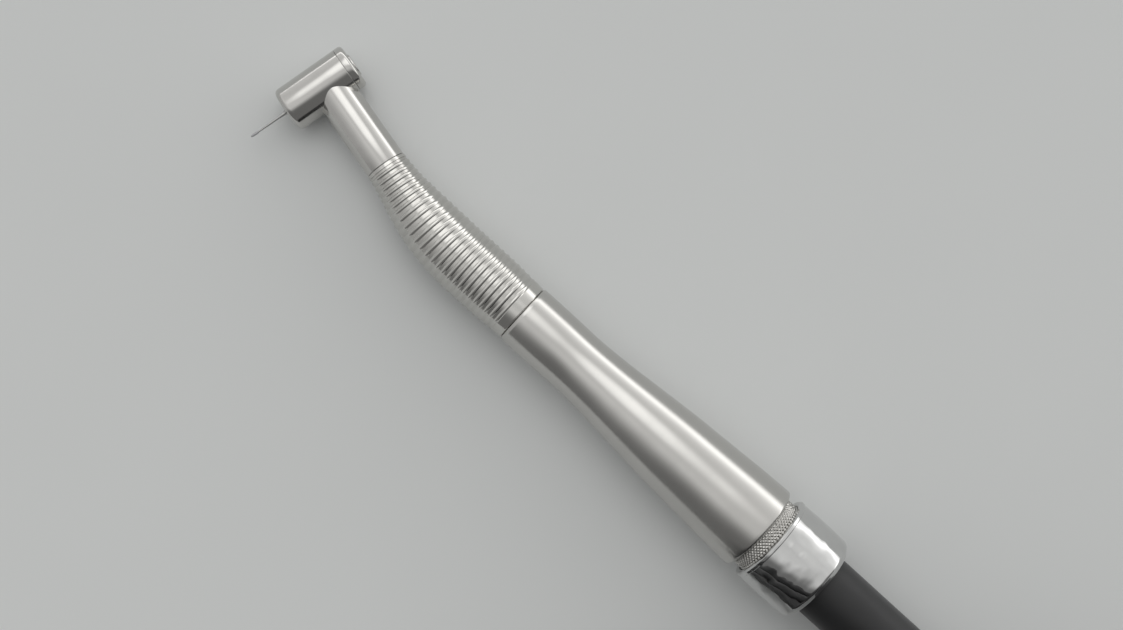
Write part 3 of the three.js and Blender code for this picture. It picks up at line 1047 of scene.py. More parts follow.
# ---- Shell -----------------------------------------------------------------------------------
@dataclass(frozen=True)
class TurbineHead:
    """The head's barrel, the neck that carries it and the spray nozzles in its face."""

    face: float = -9.0
    web: float = 0.85
    seam: float = 4.05
    nose_hole: float = 1.8
    thread: tuple[float, float] = (2.33, 3.7)
    thread_radius: float = 3.79
    spigot_end: float = 23.2
    spigot_bore: float = 2.75
    ports: int = 3
    port_circle: float = 2.62

    def barrel(self) -> bmesh.types.BMesh:
        """The barrel, with the bearing bore and the cap's threaded counterbore."""
        inside = self.face + self.web
        low, high = self.thread
        mesh = turned([
            (self.nose_hole, self.face, 0.12), (HEAD_R, self.face, 1.0),
            *((HEAD_R, z) for z in (-5.0, -3.8, 0.0)), (HEAD_R, self.seam, 0.09),
            (4.02, self.seam, 0.03), (4.02, high), *wall(self.thread_radius, high, low, 22),
            (BORE_R, low), (BORE_R, inside), (self.nose_hole, inside)], FINE_STEPS, arc_points=9)
        return threaded(mesh, low, high, self.thread_radius, 0.12, CAP_PITCH, inside=True)

    def neck(self) -> bmesh.types.BMesh:
        """The neck, its end following the barrel, with the spigot that enters the grip."""
        start, meet = 1.0, HEAD_R - 0.3
        mesh = turned([
            (self.spigot_bore, start), *((NECK_R, z) for z in (start, 4.5, 7.0, 12.0)),
            (NECK_R, 18.1, 0.06), (3.3, 18.16), (3.3, self.spigot_end, 0.2),
            (self.spigot_bore, self.spigot_end)], FINE_STEPS)
        for vert in mesh.verts:
            if vert.co.z < start + 0.5:
                vert.co.z = math.sqrt(max(meet ** 2 - vert.co.y ** 2, 0.0))
        return mesh

    def nozzles(self) -> bmesh.types.BMesh:
        """The spray ports in the face round the bur."""
        mesh = bmesh.new()
        low, high = self.face - 0.02, self.face + 0.6
        for place in round_places(self.ports, self.port_circle):
            port = turned([(0.2, low, 0.03), (0.34, low, 0.05), (0.34, high), (0.2, high)], 24,
                          arc_points=3)
            added(mesh, moved(port, Matrix.Translation(place)))
        return mesh

    def build(self) -> None:
        """Makes the head's fixed pieces."""
        along_neck = PLACES.head @ Matrix.Rotation(math.pi / 2, 4, "Y")
        for name, mesh, finish, place in (
                ("head_barrel", self.barrel(), POLISHED, PLACES.head),
                ("head_neck", self.neck(), POLISHED, along_neck),
                ("spray_nozzles", self.nozzles(), TURNED_STEEL, PLACES.head)):
            deliver(mesh, Ticket(name, finish, Body.SHELL, ("head_housing",)), place)


@dataclass(frozen=True)
class Grip:
    """The bent grip with its fine rings."""

    outside: Stations = Stations((
        (GRIP_FRONT, 3.88), (-31.4, 4.42), (-28.4, 4.92), (-25.3, 5.4), (-21.6, 5.82),
        (-18.2, 6.05), (-14.8, 6.16), (-10.8, 6.2), (-6.8, 6.2), (-2.4, 5.95), (-0.05, 5.8)))
    rings_from: float = -35.55
    rings_to: float = -2.05
    rings: int = 26
    depth: float = 0.18
    widest: float = 6.2
    floor_share: float = 0.4
    crest_points: int = 8

    def pitch(self, x: float) -> float:
        """How wide the rings are at x before they are fitted to their number."""
        if x < -27.5:
            return 1.17
        return 1.5 if x < -18.0 else 1.3

    def ring_starts(self) -> list[float]:
        """Where each ring's groove starts, with the end of the last."""
        starts = [self.rings_from]
        for _ in range(self.rings):
            starts.append(starts[-1] + self.pitch(starts[-1]))
        fit = (self.rings_to - self.rings_from) / (starts[-1] - starts[0])
        return [self.rings_from + (start - starts[0]) * fit for start in starts]

    def section(self) -> list[tuple[float, float]]:
        """One ring, a flat floor and a round crest: (share of its width, share of the depth)."""
        points = [(0.0, 1.0), (self.floor_share / 2, 1.0)]
        for k in range(self.crest_points):
            share = k / self.crest_points
            points.append((self.floor_share + (1 - self.floor_share) * share, (2 * share - 1) ** 2))
        return points

    def surface(self, x: float) -> float:
        """The radius over the crests at x."""
        return min(self.outside.at(x), self.widest)

    def worked(self) -> list[tuple[float, float]]:
        """The outline of all the rings, front to rear."""
        starts = self.ring_starts()
        outline = []
        for start, stop in zip(starts, starts[1:]):
            for share, low in self.section():
                x = start + (stop - start) * share
                outline.append((self.surface(x) - self.depth * low, x))
        return outline

    def relief(self, point: Vector) -> float:
        """How high a point stands on the rings, 0 in a groove and 1 on a crest."""
        if not self.rings_from <= point.z <= self.rings_to:
            return 1.0
        sunk = self.surface(point.z) - math.hypot(point.x, point.y)
        return 1.0 - min(max(sunk / self.depth, 0.0), 1.0)

    def sleeve(self) -> bmesh.types.BMesh:
        """The whole grip, made straight."""
        front, rear = self.outside.at(GRIP_FRONT), self.outside.at(-0.05)
        lead = [(self.outside.at(x), x) for x in (-36.0, -35.8, -35.62)]
        band = [(self.outside.at(x), x) for x in (-2.0, -1.6, -1.1, -0.6, -0.3)]
        inside = [(3.6, 5.8), (3.6, -6.0), (4.4, -12.0), (4.3, -18.0), (4.0, -24.0), (3.4, -29.0),
                  (3.34, -30.8), (3.34, GRIP_FRONT)]
        return turned([(front - 0.02, GRIP_FRONT, 0.05), *lead, *self.worked(), *band,
                       (rear, -0.05, 0.1), (5.0, -0.05), (5.0, 5.8, 0.2), *inside], CASE_STEPS)

    def build(self) -> None:
        """Makes the grip."""
        grip = Ticket("ringed_grip", RINGED, Body.SHELL, ("grip_sleeve",), sharp=24)
        deliver(self.sleeve(), grip, PLACES.handle, shape=bent, relief=self.relief)


@dataclass(frozen=True)
class Handle:
    """The smooth handle that widens to the rear."""

    outside: Stations = Stations((
        (0.9, 5.97), (3.5, 6.0), (6.8, 6.0), (13.5, 5.93), (18.9, 6.15), (28.4, 6.93), (35.0, 7.47),
        (46.0, 8.1), (52.0, 8.42), (57.6, 8.6)))
    rows: int = 60

    def sleeve(self) -> bmesh.types.BMesh:
        """The handle with its front lip, its rounded rear edge and its bore."""
        first, last = 1.0, 56.6
        flank = [(self.outside.at(x), x) for x in
                 (first + (last - first) * k / self.rows for k in range(self.rows + 1))]
        return turned([
            (5.04, 0.0, 0.1), (5.5, 0.0, 0.12), (5.86, 0.22, 0.25), (5.97, 0.75, 0.2), *flank,
            (8.58, HANDLE_END, 0.75), (6.95, HANDLE_END, 0.15), (6.95, 50.0), (6.1, 40.0),
            (5.5, 30.0), (5.04, 20.0)], FINE_STEPS, arc_points=8)

    def build(self) -> None:
        """Makes the handle."""
        handle = Ticket("handle_sheath", SATIN, Body.SHELL, ("handle_sleeve",))
        deliver(self.sleeve(), handle, PLACES.handle)


@dataclass(frozen=True)
class RearConnector:
    """The four-hole connector in the handle's rear, with its knurled band, thread and seal."""

    band: tuple[float, float] = (57.66, 59.95)
    thread: tuple[float, float] = (60.15, 65.0)
    crest: float = 7.44
    knurls: int = 64
    knurl_pitch: float = 0.76

    def body(self) -> bmesh.types.BMesh:
        """The connector, turned and bored."""
        low, high = self.band
        screw_low, screw_high = self.thread
        blank = turned([
            (0, 50.2), (6.9, 50.2, 0.2), (6.9, 52.2), (6.45, 52.2), (6.45, 53.2), (6.9, 53.2),
            (6.9, low), *wall(self.crest, low, high, 26),
            *wall(self.crest, screw_low, screw_high, 76),
            (self.crest, 65.1, 0.1), (7.1, CONNECTOR_END, 0.08), (0, CONNECTOR_END)],
            FINE_STEPS * 3, closed=False)
        knurled(blank, low + 0.05, high, self.crest, 0.24, self.knurls, self.knurl_pitch)
        threaded(blank, screw_low, screw_high, self.crest, 0.34, NUT_PITCH)
        return bored(blank, 49.0, 67.0, 0.05)

    def relief(self, point: Vector) -> float:
        """How high a point stands on the knurl or thread."""
        if point.z < self.band[0]:
            return 1.0
        sunk = self.crest - math.hypot(point.x, point.y)
        return 1.0 if sunk > 0.36 else 1.0 - min(max(sunk / 0.2, 0.0), 1.0)

    def build(self) -> None:
        """Makes the connector and its seal, and dresses the tubes that run from it."""
        body = Ticket("four_hole_connector", KNURLED, Body.SHELL, ("rear_connector",), sharp=40)
        deliver(self.body(), body, PLACES.handle, relief=self.relief)
        ring = Ticket("connector_o_ring", SEAL_RUBBER, Body.SHELL, ("connector_seal",))
        deliver(turned(ring_section(6.45, 6.94, 52.7), CASE_STEPS), ring, PLACES.handle)
        for name in ("drive_air_tube", "water_tube", "chip_air_tube"):
            dress(name, DRAWN_STEEL)


# ---- Turbine ---------------------------------------------------------------------------------
@dataclass(frozen=True)
class Bearing:
    """One ball bearing of the turbine, with the O-ring that it is mounted in."""

    end: str
    low: float
    cage: Body
    balls: int = 7
    ball_radius: float = 0.5
    ball_circle: float = 2.37
    groove_radius: float = 0.52
    cage_wall: tuple[float, float] = (2.2, 2.55)
    cage_half: float = 0.46

    @property
    def middle(self) -> float:
        """Half way along the bearing."""
        return self.low + BEARING_W / 2

    def race(self, wall_radius: float, back_radius: float) -> bmesh.types.BMesh:
        """A race: a ring with a round groove in the wall that faces the balls."""
        high = self.low + BEARING_W
        inwards = 1 if back_radius < wall_radius else -1
        angles = [math.radians(degrees) for degrees in range(-52, 53, 13)]
        groove = [(self.ball_circle - inwards * self.groove_radius * math.cos(angle),
                   self.middle + self.groove_radius * math.sin(angle)) for angle in angles]
        groove = [(r, h) for r, h in groove if (wall_radius - r) * inwards > 0.005]
        outline = [(back_radius, self.low, 0.12), (wall_radius, self.low, 0.06), *groove,
                   (wall_radius, high, 0.06), (back_radius, high, 0.12)]
        return turned(outline, SMALL_STEPS * 2, arc_points=4)

    def cage_ring(self) -> bmesh.types.BMesh:
        """The cage, a plain ring that the balls sit through."""
        low, high = self.middle - self.cage_half, self.middle + self.cage_half
        return turned(plain_ring(*self.cage_wall, low, high, 0.08), SMALL_STEPS * 2, arc_points=3)

    def ball_set(self) -> bmesh.types.BMesh:
        """The balls, evenly round the bearing."""
        mesh = bmesh.new()
        for place in round_places(self.balls, self.ball_circle, self.middle):
            added(mesh, ball(self.ball_radius, place))
        return mesh

    def mount(self) -> bmesh.types.BMesh:
        """The O-ring round the outer race."""
        return turned(ring_section(BEARING_R + 0.02, BORE_R - 0.03, self.middle), SMALL_STEPS * 2)

    def build(self) -> None:
        """Makes the bearing's pieces."""
        bore = SHAFT_R + CLEAR
        for name, mesh, finish, body, node in (
                ("outer_ring", self.race(2.72, BEARING_R), GROUND_STEEL, Body.SHELL, "outer_race"),
                ("inner_ring", self.race(2.02, bore), GROUND_STEEL, Body.ROTOR, "inner_race"),
                ("cage_ring", self.cage_ring(), PHENOLIC, self.cage, "ball_cage"),
                ("balls", self.ball_set(), GROUND_STEEL, self.cage, "ball_cage"),
                ("mount_ring", self.mount(), SEAL_RUBBER, Body.SHELL, "o_ring")):
            ticket = Ticket(f"{self.end}_{name}", finish, body, (f"{self.end}_{node}",))
            deliver(mesh, ticket, PLACES.head)


@dataclass(frozen=True)
class Turbine:
    """The rotor with its spindle, collet and bladed wheel, and what holds it in the head."""

    bearings: tuple[Bearing, Bearing] = (Bearing("front", FRONT_BEARING, Body.FRONT_CAGE),
                                         Bearing("rear", REAR_BEARING, Body.REAR_CAGE))
    vanes: int = 10
    vane_height: float = 3.0
    vane_thickness: float = 0.2
    vane_middle: float = -2.4
    jaws: int = 3
    jaw_gap: float = 12.0

    def spindle(self) -> bmesh.types.BMesh:
        """The hollow spindle, its ends eased."""
        bore, low, high = 1.12, -8.7, 2.4
        return turned([(bore, low, 0.08), (SHAFT_R, low, 0.14), (SHAFT_R, high, 0.14),
                       (bore, high, 0.08)], SMALL_STEPS * 2, arc_points=3)

    def collet(self) -> bmesh.types.BMesh:
        """The collet: a plain sleeve at the rear that splits into jaws at the front."""
        inner, outer = BUR_R + CLEAR, 1.08
        nose, split, rear = -8.6, -3.0, 1.0
        mesh = turned([(inner, split), (outer, split), (outer, rear, 0.06), (inner, rear, 0.06)],
                      SMALL_STEPS, arc_points=2)
        width = 360 / self.jaws
        for k in range(self.jaws):
            jaw = [(inner, nose), (outer, nose, 0.06), (outer, split), (inner, split)]
            added(mesh, part_turned(jaw, k * width + self.jaw_gap / 2, width - self.jaw_gap, 16))
        return mesh

    def wheel(self) -> bmesh.types.BMesh:
        """The bladed wheel: a hub with curved vanes."""
        low, high = FRONT_BEARING + BEARING_W + 0.05, REAR_BEARING - 0.05
        bore, hub = SHAFT_R + CLEAR, 2.15
        mesh = turned([(bore, low), (hub, low, 0.1), (hub, high, 0.1), (bore, high)],
                      SMALL_STEPS * 2, arc_points=3)
        for k in range(self.vanes):
            vane = bmesh.new()
            bmesh.ops.create_grid(vane, x_segments=8, y_segments=10, size=0.5)
            for vert in vane.verts:
                out, up = vert.co.x + 0.5, vert.co.y * self.vane_height
                bow = 0.34 * (1 - (2 * up / self.vane_height) ** 2) + 0.25 * out * out
                vert.co = Vector((2.02 + 1.19 * out, bow - 0.2, self.vane_middle + up))
            bmesh.ops.recalc_face_normals(vane, faces=vane.faces)
            bmesh.ops.solidify(vane, geom=vane.faces[:], thickness=self.vane_thickness)
            bmesh.ops.recalc_face_normals(vane, faces=vane.faces)
            added(mesh, moved(vane, Matrix.Rotation(k * math.tau / self.vanes, 4, "Z")))
        return mesh

    def washer(self) -> bmesh.types.BMesh:
        """The wave washer that loads the rear bearing."""
        low = REAR_BEARING + BEARING_W + 0.05
        mesh = turned([(2.75, low), (3.2, low), (3.2, low + 0.13), (2.75, low + 0.13)],
                      SMALL_STEPS * 2)
        for vert in mesh.verts:
            vert.co.z += 0.055 * (1 + math.sin(3 * math.atan2(vert.co.y, vert.co.x)))
        return mesh

    def plunger(self) -> bmesh.types.BMesh:
        """The plunger that opens the collet."""
        return turned([
            (0, 1.5), (0.9, 1.5, 0.1), (1.05, 1.75, 0.1), (1.05, 2.9), (1.5, 2.9, 0.05),
            (1.5, 3.2, 0.08), (0.35, 3.2, 0.05), (0.25, 3.12), (0, 3.12)],
            SMALL_STEPS, closed=False)

    def build(self) -> None:
        """Makes the rotor, its bearings and its plunger."""
        for bearing in self.bearings:
            bearing.build()
        for name, mesh, finish, body, node in (
                ("rotor_spindle", self.spindle(), GROUND_STEEL, Body.ROTOR, "spindle"),
                ("collet_jaws", self.collet(), TURNED_STEEL, Body.ROTOR, "collet"),
                ("turbine_wheel", self.wheel(), ALUMINIUM, Body.ROTOR, "impeller"),
                ("wave_washer", self.washer(), SPRING, Body.SHELL, "preload_washer"),
                ("release_plunger", self.plunger(), TURNED_STEEL, Body.PLUNGER, "chuck_plunger")):
            deliver(mesh, Ticket(name, finish, body, (node,)), PLACES.head)


@dataclass(frozen=True)
class Bur:
    """The bur: a plain shank, a fine neck and a gritty tip."""

    neck_end: float = -15.3
    grit_rows: int = 40
    grit_row: float = 0.03
    grit_height: float = 0.022

    def shank(self) -> bmesh.types.BMesh:
        """The shank and its tapered neck."""
        return turned([
            (0, 0.8), (0.7, 0.8, 0.05), (BUR_R, 0.7), (BUR_R, -8.6, 0.3), (0.6, -9.05, 0.3),
            (0.36, -9.55, 0.4), (0.26, -11.0, 1.0), (0.17, self.neck_end), (0, self.neck_end)],
            SMALL_STEPS, closed=False)

    def tip(self) -> bmesh.types.BMesh:
        """The tip, roughened by its grains."""
        flank = [(0.21 + 0.04 * math.sin(k * math.pi / self.grit_rows), -15.36 - self.grit_row * k)
                 for k in range(self.grit_rows + 1)]
        mesh = turned([(0, -15.29), (0.175, self.neck_end), *flank, (0.2, -16.68), (0.16, -16.8),
                       (0.1, -16.9), (0, -16.94)], HOLE_STEPS, closed=False)
        for vert in mesh.verts:
            if math.hypot(vert.co.x, vert.co.y) > 0.05:
                vert.co += vert.normal * self.grit_height * noise.noise(vert.co * 16)
        return mesh

    def build(self) -> None:
        """Makes the bur."""
        shank = Ticket("bur_blank", TURNED_STEEL, Body.BUR, ("bur_shank",))
        deliver(self.shank(), shank, PLACES.head)
        deliver(self.tip(), Ticket("bur_grit", GRIT, Body.BUR, ("bur_tip",), sharp=60), PLACES.head)


@dataclass(frozen=True)
class HeadCap:
    """The screwed cap with the push button, its spring and the ring that keeps them in."""

    face: float = 5.65
    hole: float = 2.22
    thread: tuple[float, float] = (2.38, 3.6)
    thread_radius: float = 3.72
    spring_radius: float = 2.65
    wire: float = 0.115
    spring_from: float = 3.6
    spring_to: float = 4.36
    coils: int = 2

    def cap(self) -> bmesh.types.BMesh:
        """The cap, with its thread below the rim."""
        bore, rim, roof, crest = 3.35, 4.08, 4.88, self.thread_radius
        low, high = self.thread
        mesh = turned([
            (bore, low), *wall(crest, low, high, 20), (crest, rim), (HEAD_R, rim, 0.09),
            (HEAD_R, self.face, 1.32), (2.75, self.face + 0.02, 0.4), (self.hole, self.face, 0.07),
            (self.hole, roof), (bore, roof)], FINE_STEPS, arc_points=10)
        return threaded(mesh, low, high, crest, 0.13, CAP_PITCH)

    def button(self) -> bmesh.types.BMesh:
        """The button, slightly domed, with its guide pin and flange."""
        top = self.face + 0.25
        return turned([
            (0, 3.4), (1.3, 3.4, 0.1), (1.3, 4.4), (3.1, 4.4, 0.05), (3.1, 4.82, 0.05),
            (2.15, 4.82), (2.15, top - 0.03, 0.14), (1.1, top), (0.5, top + 0.012),
            (0, top + 0.015)], CASE_STEPS, closed=False)

    def spring(self) -> bmesh.types.BMesh:
        """The coiled spring, its wire's ends closed."""
        steps = SPRING_STEPS * self.coils
        rise = self.spring_to - self.spring_from - 2 * self.wire
        mesh = bmesh.new()
        ring = bmesh.ops.create_circle(mesh, cap_ends=False, radius=self.wire, segments=12)["verts"]
        bmesh.ops.rotate(mesh, verts=ring, cent=(0, 0, 0),
                         matrix=Matrix.Rotation(math.pi / 2, 3, "X"))
        bmesh.ops.translate(mesh, verts=ring,
                            vec=(self.spring_radius, 0, self.spring_from + self.wire))
        bmesh.ops.spin(mesh, geom=[*ring, *mesh.edges[:]], cent=(0, 0, 0), axis=(0, 0, 1),
                       dvec=(0, 0, rise / steps), angle=math.tau * self.coils, steps=steps,
                       use_merge=False, use_duplicate=False)
        bmesh.ops.holes_fill(mesh, edges=[e for e in mesh.edges if e.is_boundary], sides=0)
        bmesh.ops.recalc_face_normals(mesh, faces=mesh.faces)
        return mesh

    def build(self) -> None:
        """Makes the cap's pieces and the spring, which rides on the cap with a mesh of its own."""
        keeper = turned(plain_ring(1.75, 3.31, 3.3, 3.55, 0.04), SMALL_STEPS * 2, arc_points=2)
        seal = turned(ring_section(3.79, 3.98, 3.87), SMALL_STEPS * 2)
        for name, mesh, finish, body, node in (
                ("screw_cap", self.cap(), POLISHED, Body.CAP, "head_cap"),
                ("release_button", self.button(), POLISHED, Body.BUTTON, "push_button"),
                ("keeper_ring", keeper, TURNED_STEEL, Body.CAP, "spring_retainer"),
                ("cap_o_ring", seal, SEAL_RUBBER, Body.SEAL, "cap_seal")):
            deliver(mesh, Ticket(name, finish, body, (node,)), PLACES.head)
        ticket = Ticket("coiled_spring", SPRING, Body.CAP, ("button_spring",), sharp=70)
        spring = deliver(self.spring(), ticket, PLACES.head)
        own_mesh(spring)


# ---- Coupling --------------------------------------------------------------------------------
@dataclass(frozen=True)
class Coupling:
    """The nut that draws the hose up to the handpiece, and the fitting that it holds."""

    nut_radius: float = 8.85
    nut_bore: float = 7.52
    thread: tuple[float, float] = (60.35, 66.3)
    runout: tuple[float, float] = (0.15, 0.1)
    rear_hole: float = 6.3
    shoulder: float = 68.25
    pipe_thickness: float = 0.25
    pipe_start: float = 61.5

    def nut(self) -> bmesh.types.BMesh:
        """The nut, with a bright collar in front, a slight taper and a domed rear."""
        r, bore = self.nut_radius, self.nut_bore
        low, high = self.thread
        flank = [(8.74, 61.1), (8.79, 62.4), (8.83, 64.0), (8.845, 65.6), (8.83, 67.2),
                 (8.79, 68.8)]
        mesh = turned([
            *wall(bore, high, low, 60), (7.75, NUT_START, 0.06), (8.48, NUT_START, 0.1),
            (r, 60.27, 0.07), (r, 60.78, 0.07), (8.73, 60.9, 0.05), *flank, (8.7, 70.9, 0.9),
            (7.7, 71.85, 0.7), (6.95, 72.02, 1.2), (self.rear_hole, NUT_END, 0.12),
            (self.rear_hole, self.shoulder), (bore, self.shoulder)], FINE_STEPS, arc_points=9)
        return threaded(mesh, low + self.runout[0], high - self.runout[1], bore, 0.3, NUT_PITCH,
                        inside=True)

    def disc(self, radius: float, low: float, high: float, ease: float) -> bmesh.types.BMesh:
        """A disc with the four lines' holes through it."""
        blank = turned([(0, low), (radius, low, ease), (radius, high, ease), (0, high)],
                       CASE_STEPS, closed=False)
        return bored(blank, 64.0, 70.0, CLEAR)

    def washer(self) -> bmesh.types.BMesh:
        """The ring that the nut turns against."""
        return turned(plain_ring(6.45, 7.4, FITTING_END + CLEAR, 68.2, 0.04), CASE_STEPS,
                      arc_points=2)

    def build(self) -> None:
        """Makes the nut and what stays on the hose's end."""
        nut = Ticket("chromed_nut", CHROME, Body.NUT, ("coupling_nut",))
        deliver(self.nut(), nut, PLACES.handle)
        spigots = [(f"{name}_spigot", pipe_at(line, self.pipe_thickness, self.pipe_start,
                                              FITTING_END), GROUND_STEEL, f"{name}_pipe")
                   for name, line in LINES.items()]
        for name, mesh, finish, node in (
                ("four_hole_gasket", self.disc(6.9, 65.53, 66.3, 0.1), SEAL_RUBBER, "hose_gasket"),
                ("brass_fitting", self.disc(7.35, 66.33, FITTING_END, 0.12), BRASS, "hose_fitting"),
                *spigots,
                ("slip_ring", self.washer(), GROUND_STEEL, "slip_washer")):
            deliver(mesh, Ticket(name, finish, Body.HOSE, (node,)), PLACES.handle)


@dataclass(frozen=True)
class UnitConnector:
    """The connector at the hose's far end, which screws to the dental unit."""

    knurl: tuple[float, float] = (15.1, 22.4)
    crest: float = 8.19
    knurl_depth: float = 0.22
    knurls: int = 60
    knurl_pitch: float = 0.95
    thread: tuple[float, float] = (19.2, 24.6)
    thread_radius: float = 7.2

    def body(self) -> bmesh.types.BMesh:
        """The connector's body, stepped for its nut."""
        return turned([
            (0, 0.3), (6.6, 0.3, 0.2), (6.9, 0.8, 0.3), (6.9, 3.0), (6.7, 3.1), (6.7, 3.5),
            (6.9, 3.6), (6.9, 12.0, 0.3), (5.6, 13.0, 0.2), (5.6, 19.0), (7.0, 19.0, 0.15),
            (7.0, UNIT_AXIS_X, 0.25), (0, UNIT_AXIS_X)], CASE_STEPS, closed=False)

    def nut(self) -> bmesh.types.BMesh:
        """The union nut with its knurled grip."""
        (low, high), (screw_low, screw_high) = self.knurl, self.thread
        mesh = turned([
            (5.7, 13.4), (7.9, 13.4, 0.2), (8.2, 13.8, 0.15), (8.2, 15.0, 0.05),
            *wall(self.crest, low, high, 48), (8.2, 22.6, 0.05), (8.2, screw_high, 0.2),
            (7.9, 25.0, 0.15), (self.thread_radius, 25.0, 0.1),
            *wall(self.thread_radius, screw_high, screw_low, 54), (self.thread_radius, 18.8),
            (5.7, 18.8)], FINE_STEPS * 2)
        knurled(mesh, low, high, self.crest, self.knurl_depth, self.knurls, self.knurl_pitch)
        return threaded(mesh, screw_low, screw_high, self.thread_radius, 0.3, NUT_PITCH,
                        inside=True)

    def relief(self, point: Vector) -> float:
        """How high a point stands on the nut's knurl."""
        sunk = self.crest - math.hypot(point.x, point.y)
        if sunk >= self.knurl_depth + WALL_SLACK:
            return 1.0
        return 1.0 - min(max(sunk / self.knurl_depth, 0.0), 1.0)

    def build(self) -> None:
        """Makes the connector, its nut and its four pipes."""
        body = Ticket("far_connector", ALUMINIUM, Body.HOSE, ("unit_connector",))
        deliver(self.body(), body, PLACES.unit)
        nut = Ticket("knurled_union_nut", KNURLED_CHROME, Body.UNIT_NUT, ("unit_nut",), sharp=40)
        deliver(self.nut(), nut, PLACES.unit, relief=self.relief)
        for name, line in LINES.items():
            pipe = Ticket(f"far_{name}_spigot", GROUND_STEEL, Body.HOSE, (f"unit_{name}_pipe",))
            deliver(pipe_at(line, 0.3, 21.03, 27.5), pipe, PLACES.unit)


# ---- Hose ------------------------------------------------------------------------------------
@dataclass(frozen=True)
class Hose:
    """The black hose: out of the nut, down to the surface and into its coil."""

    radius: float = 6.1
    coil_radius: float = 61.0
    coil_along: float = 62.0
    coil_side: float = -61.0
    layer: float = 12.5
    ramp_from: float = 235.0
    ramp_to: float = 318.0
    end_turn: float = 3 * 360 + 195.0
    end_lift: float = 1.85
    end_rise: float = 40.0
    end_run: float = 8.0
    fitting_gap: float = 0.3
    turn_points: int = 72
    route: tuple[tuple[float, float, float], ...] = (
        (0, 0, 9.01), (4, 0, 9.15), (8, 0, 9.28), (12, 0, 9.4), (16, 0, 9.5), (20, 0, 9.55),
        (24, 0, 9.54), (28, 0, 9.43), (32, 0, 9.2), (36, 0, 8.85), (40, 0, 8.4), (44, 0, 7.9),
        (48, 0, 7.38), (52, 0, 6.92), (56, 0, 6.55), (59, 0, 6.34))

    @property
    def exit(self) -> Vector:
        """Where the hose leaves its fitting, in metres."""
        return PLACES.handle @ Vector((0, 0, FITTING_END + self.fitting_gap))

    def eased(self, value: float, low: float, high: float) -> float:
        """A step from 0 to 1 between low and high, with no corner at either end."""
        t = min(max((value - low) / (high - low), 0.0), 1.0)
        return t * t * t * (t * (6 * t - 15) + 10)

    def coil_point(self, degrees: float) -> Vector:
        """A point of the coil's middle line, in metres.

        Args:
            degrees: How far round the coil it is.

        Returns:
            The point.
        """
        layer = math.floor(degrees / 360)
        climb = self.eased(degrees - 360 * layer, self.ramp_from, self.ramp_to)
        lift = self.end_lift * self.eased(degrees, self.end_turn - self.end_rise, self.end_turn)
        height = self.radius + (layer + climb) * self.layer + lift
        angle = math.radians(degrees)
        return Vector((self.exit.x + (self.coil_along + self.coil_radius * math.sin(angle)) * MM,
                       self.exit.y + (self.coil_side + self.coil_radius * math.cos(angle)) * MM,
                       height * MM))

    def centre_line(self) -> list[Vector]:
        """All the points of the hose's middle line, in metres."""
        line = [Vector((self.exit.x + along * MM, self.exit.y + side * MM, height * MM))
                for along, side, height in self.route]
        line[0].z = self.exit.z
        count = round(self.end_turn / 360 * self.turn_points)
        line += [self.coil_point(self.end_turn * k / count) for k in range(count + 1)]
        angle = math.radians(self.end_turn)
        onward = Vector((math.cos(angle), -math.sin(angle), 0)) * self.end_run * MM
        return line + [line[-1] + onward * share for share in (0.5, 1.0)]

    def build(self) -> None:
        line = self.centre_line()
        curve = bpy.data.curves.new("black_hose", "CURVE")
        curve.dimensions = "3D"
        curve.bevel_depth = self.radius * MM
        curve.bevel_resolution = 10
        curve.use_fill_caps = True
        spline = curve.splines.new("POLY")
        spline.points.add(len(line) - 1)
        for point, place in zip(spline.points, line):
            point.co = (*place, 1.0)
        spline.use_smooth = True
        curve.materials.append(HOSE_RUBBER.material())
        piece = bpy.data.objects.new("black_hose", curve)
        bpy.context.scene.collection.objects.link(piece)
        length = sum((b - a).length for a, b in zip(line, line[1:]))
        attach(piece, Body.HOSE.value)
        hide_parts("hose_tube", "hose_coil", "hose_end_tube")
        tuple(self.exit)
        LOG.info("black_hose: %d points, %.3f m", len(line), length)


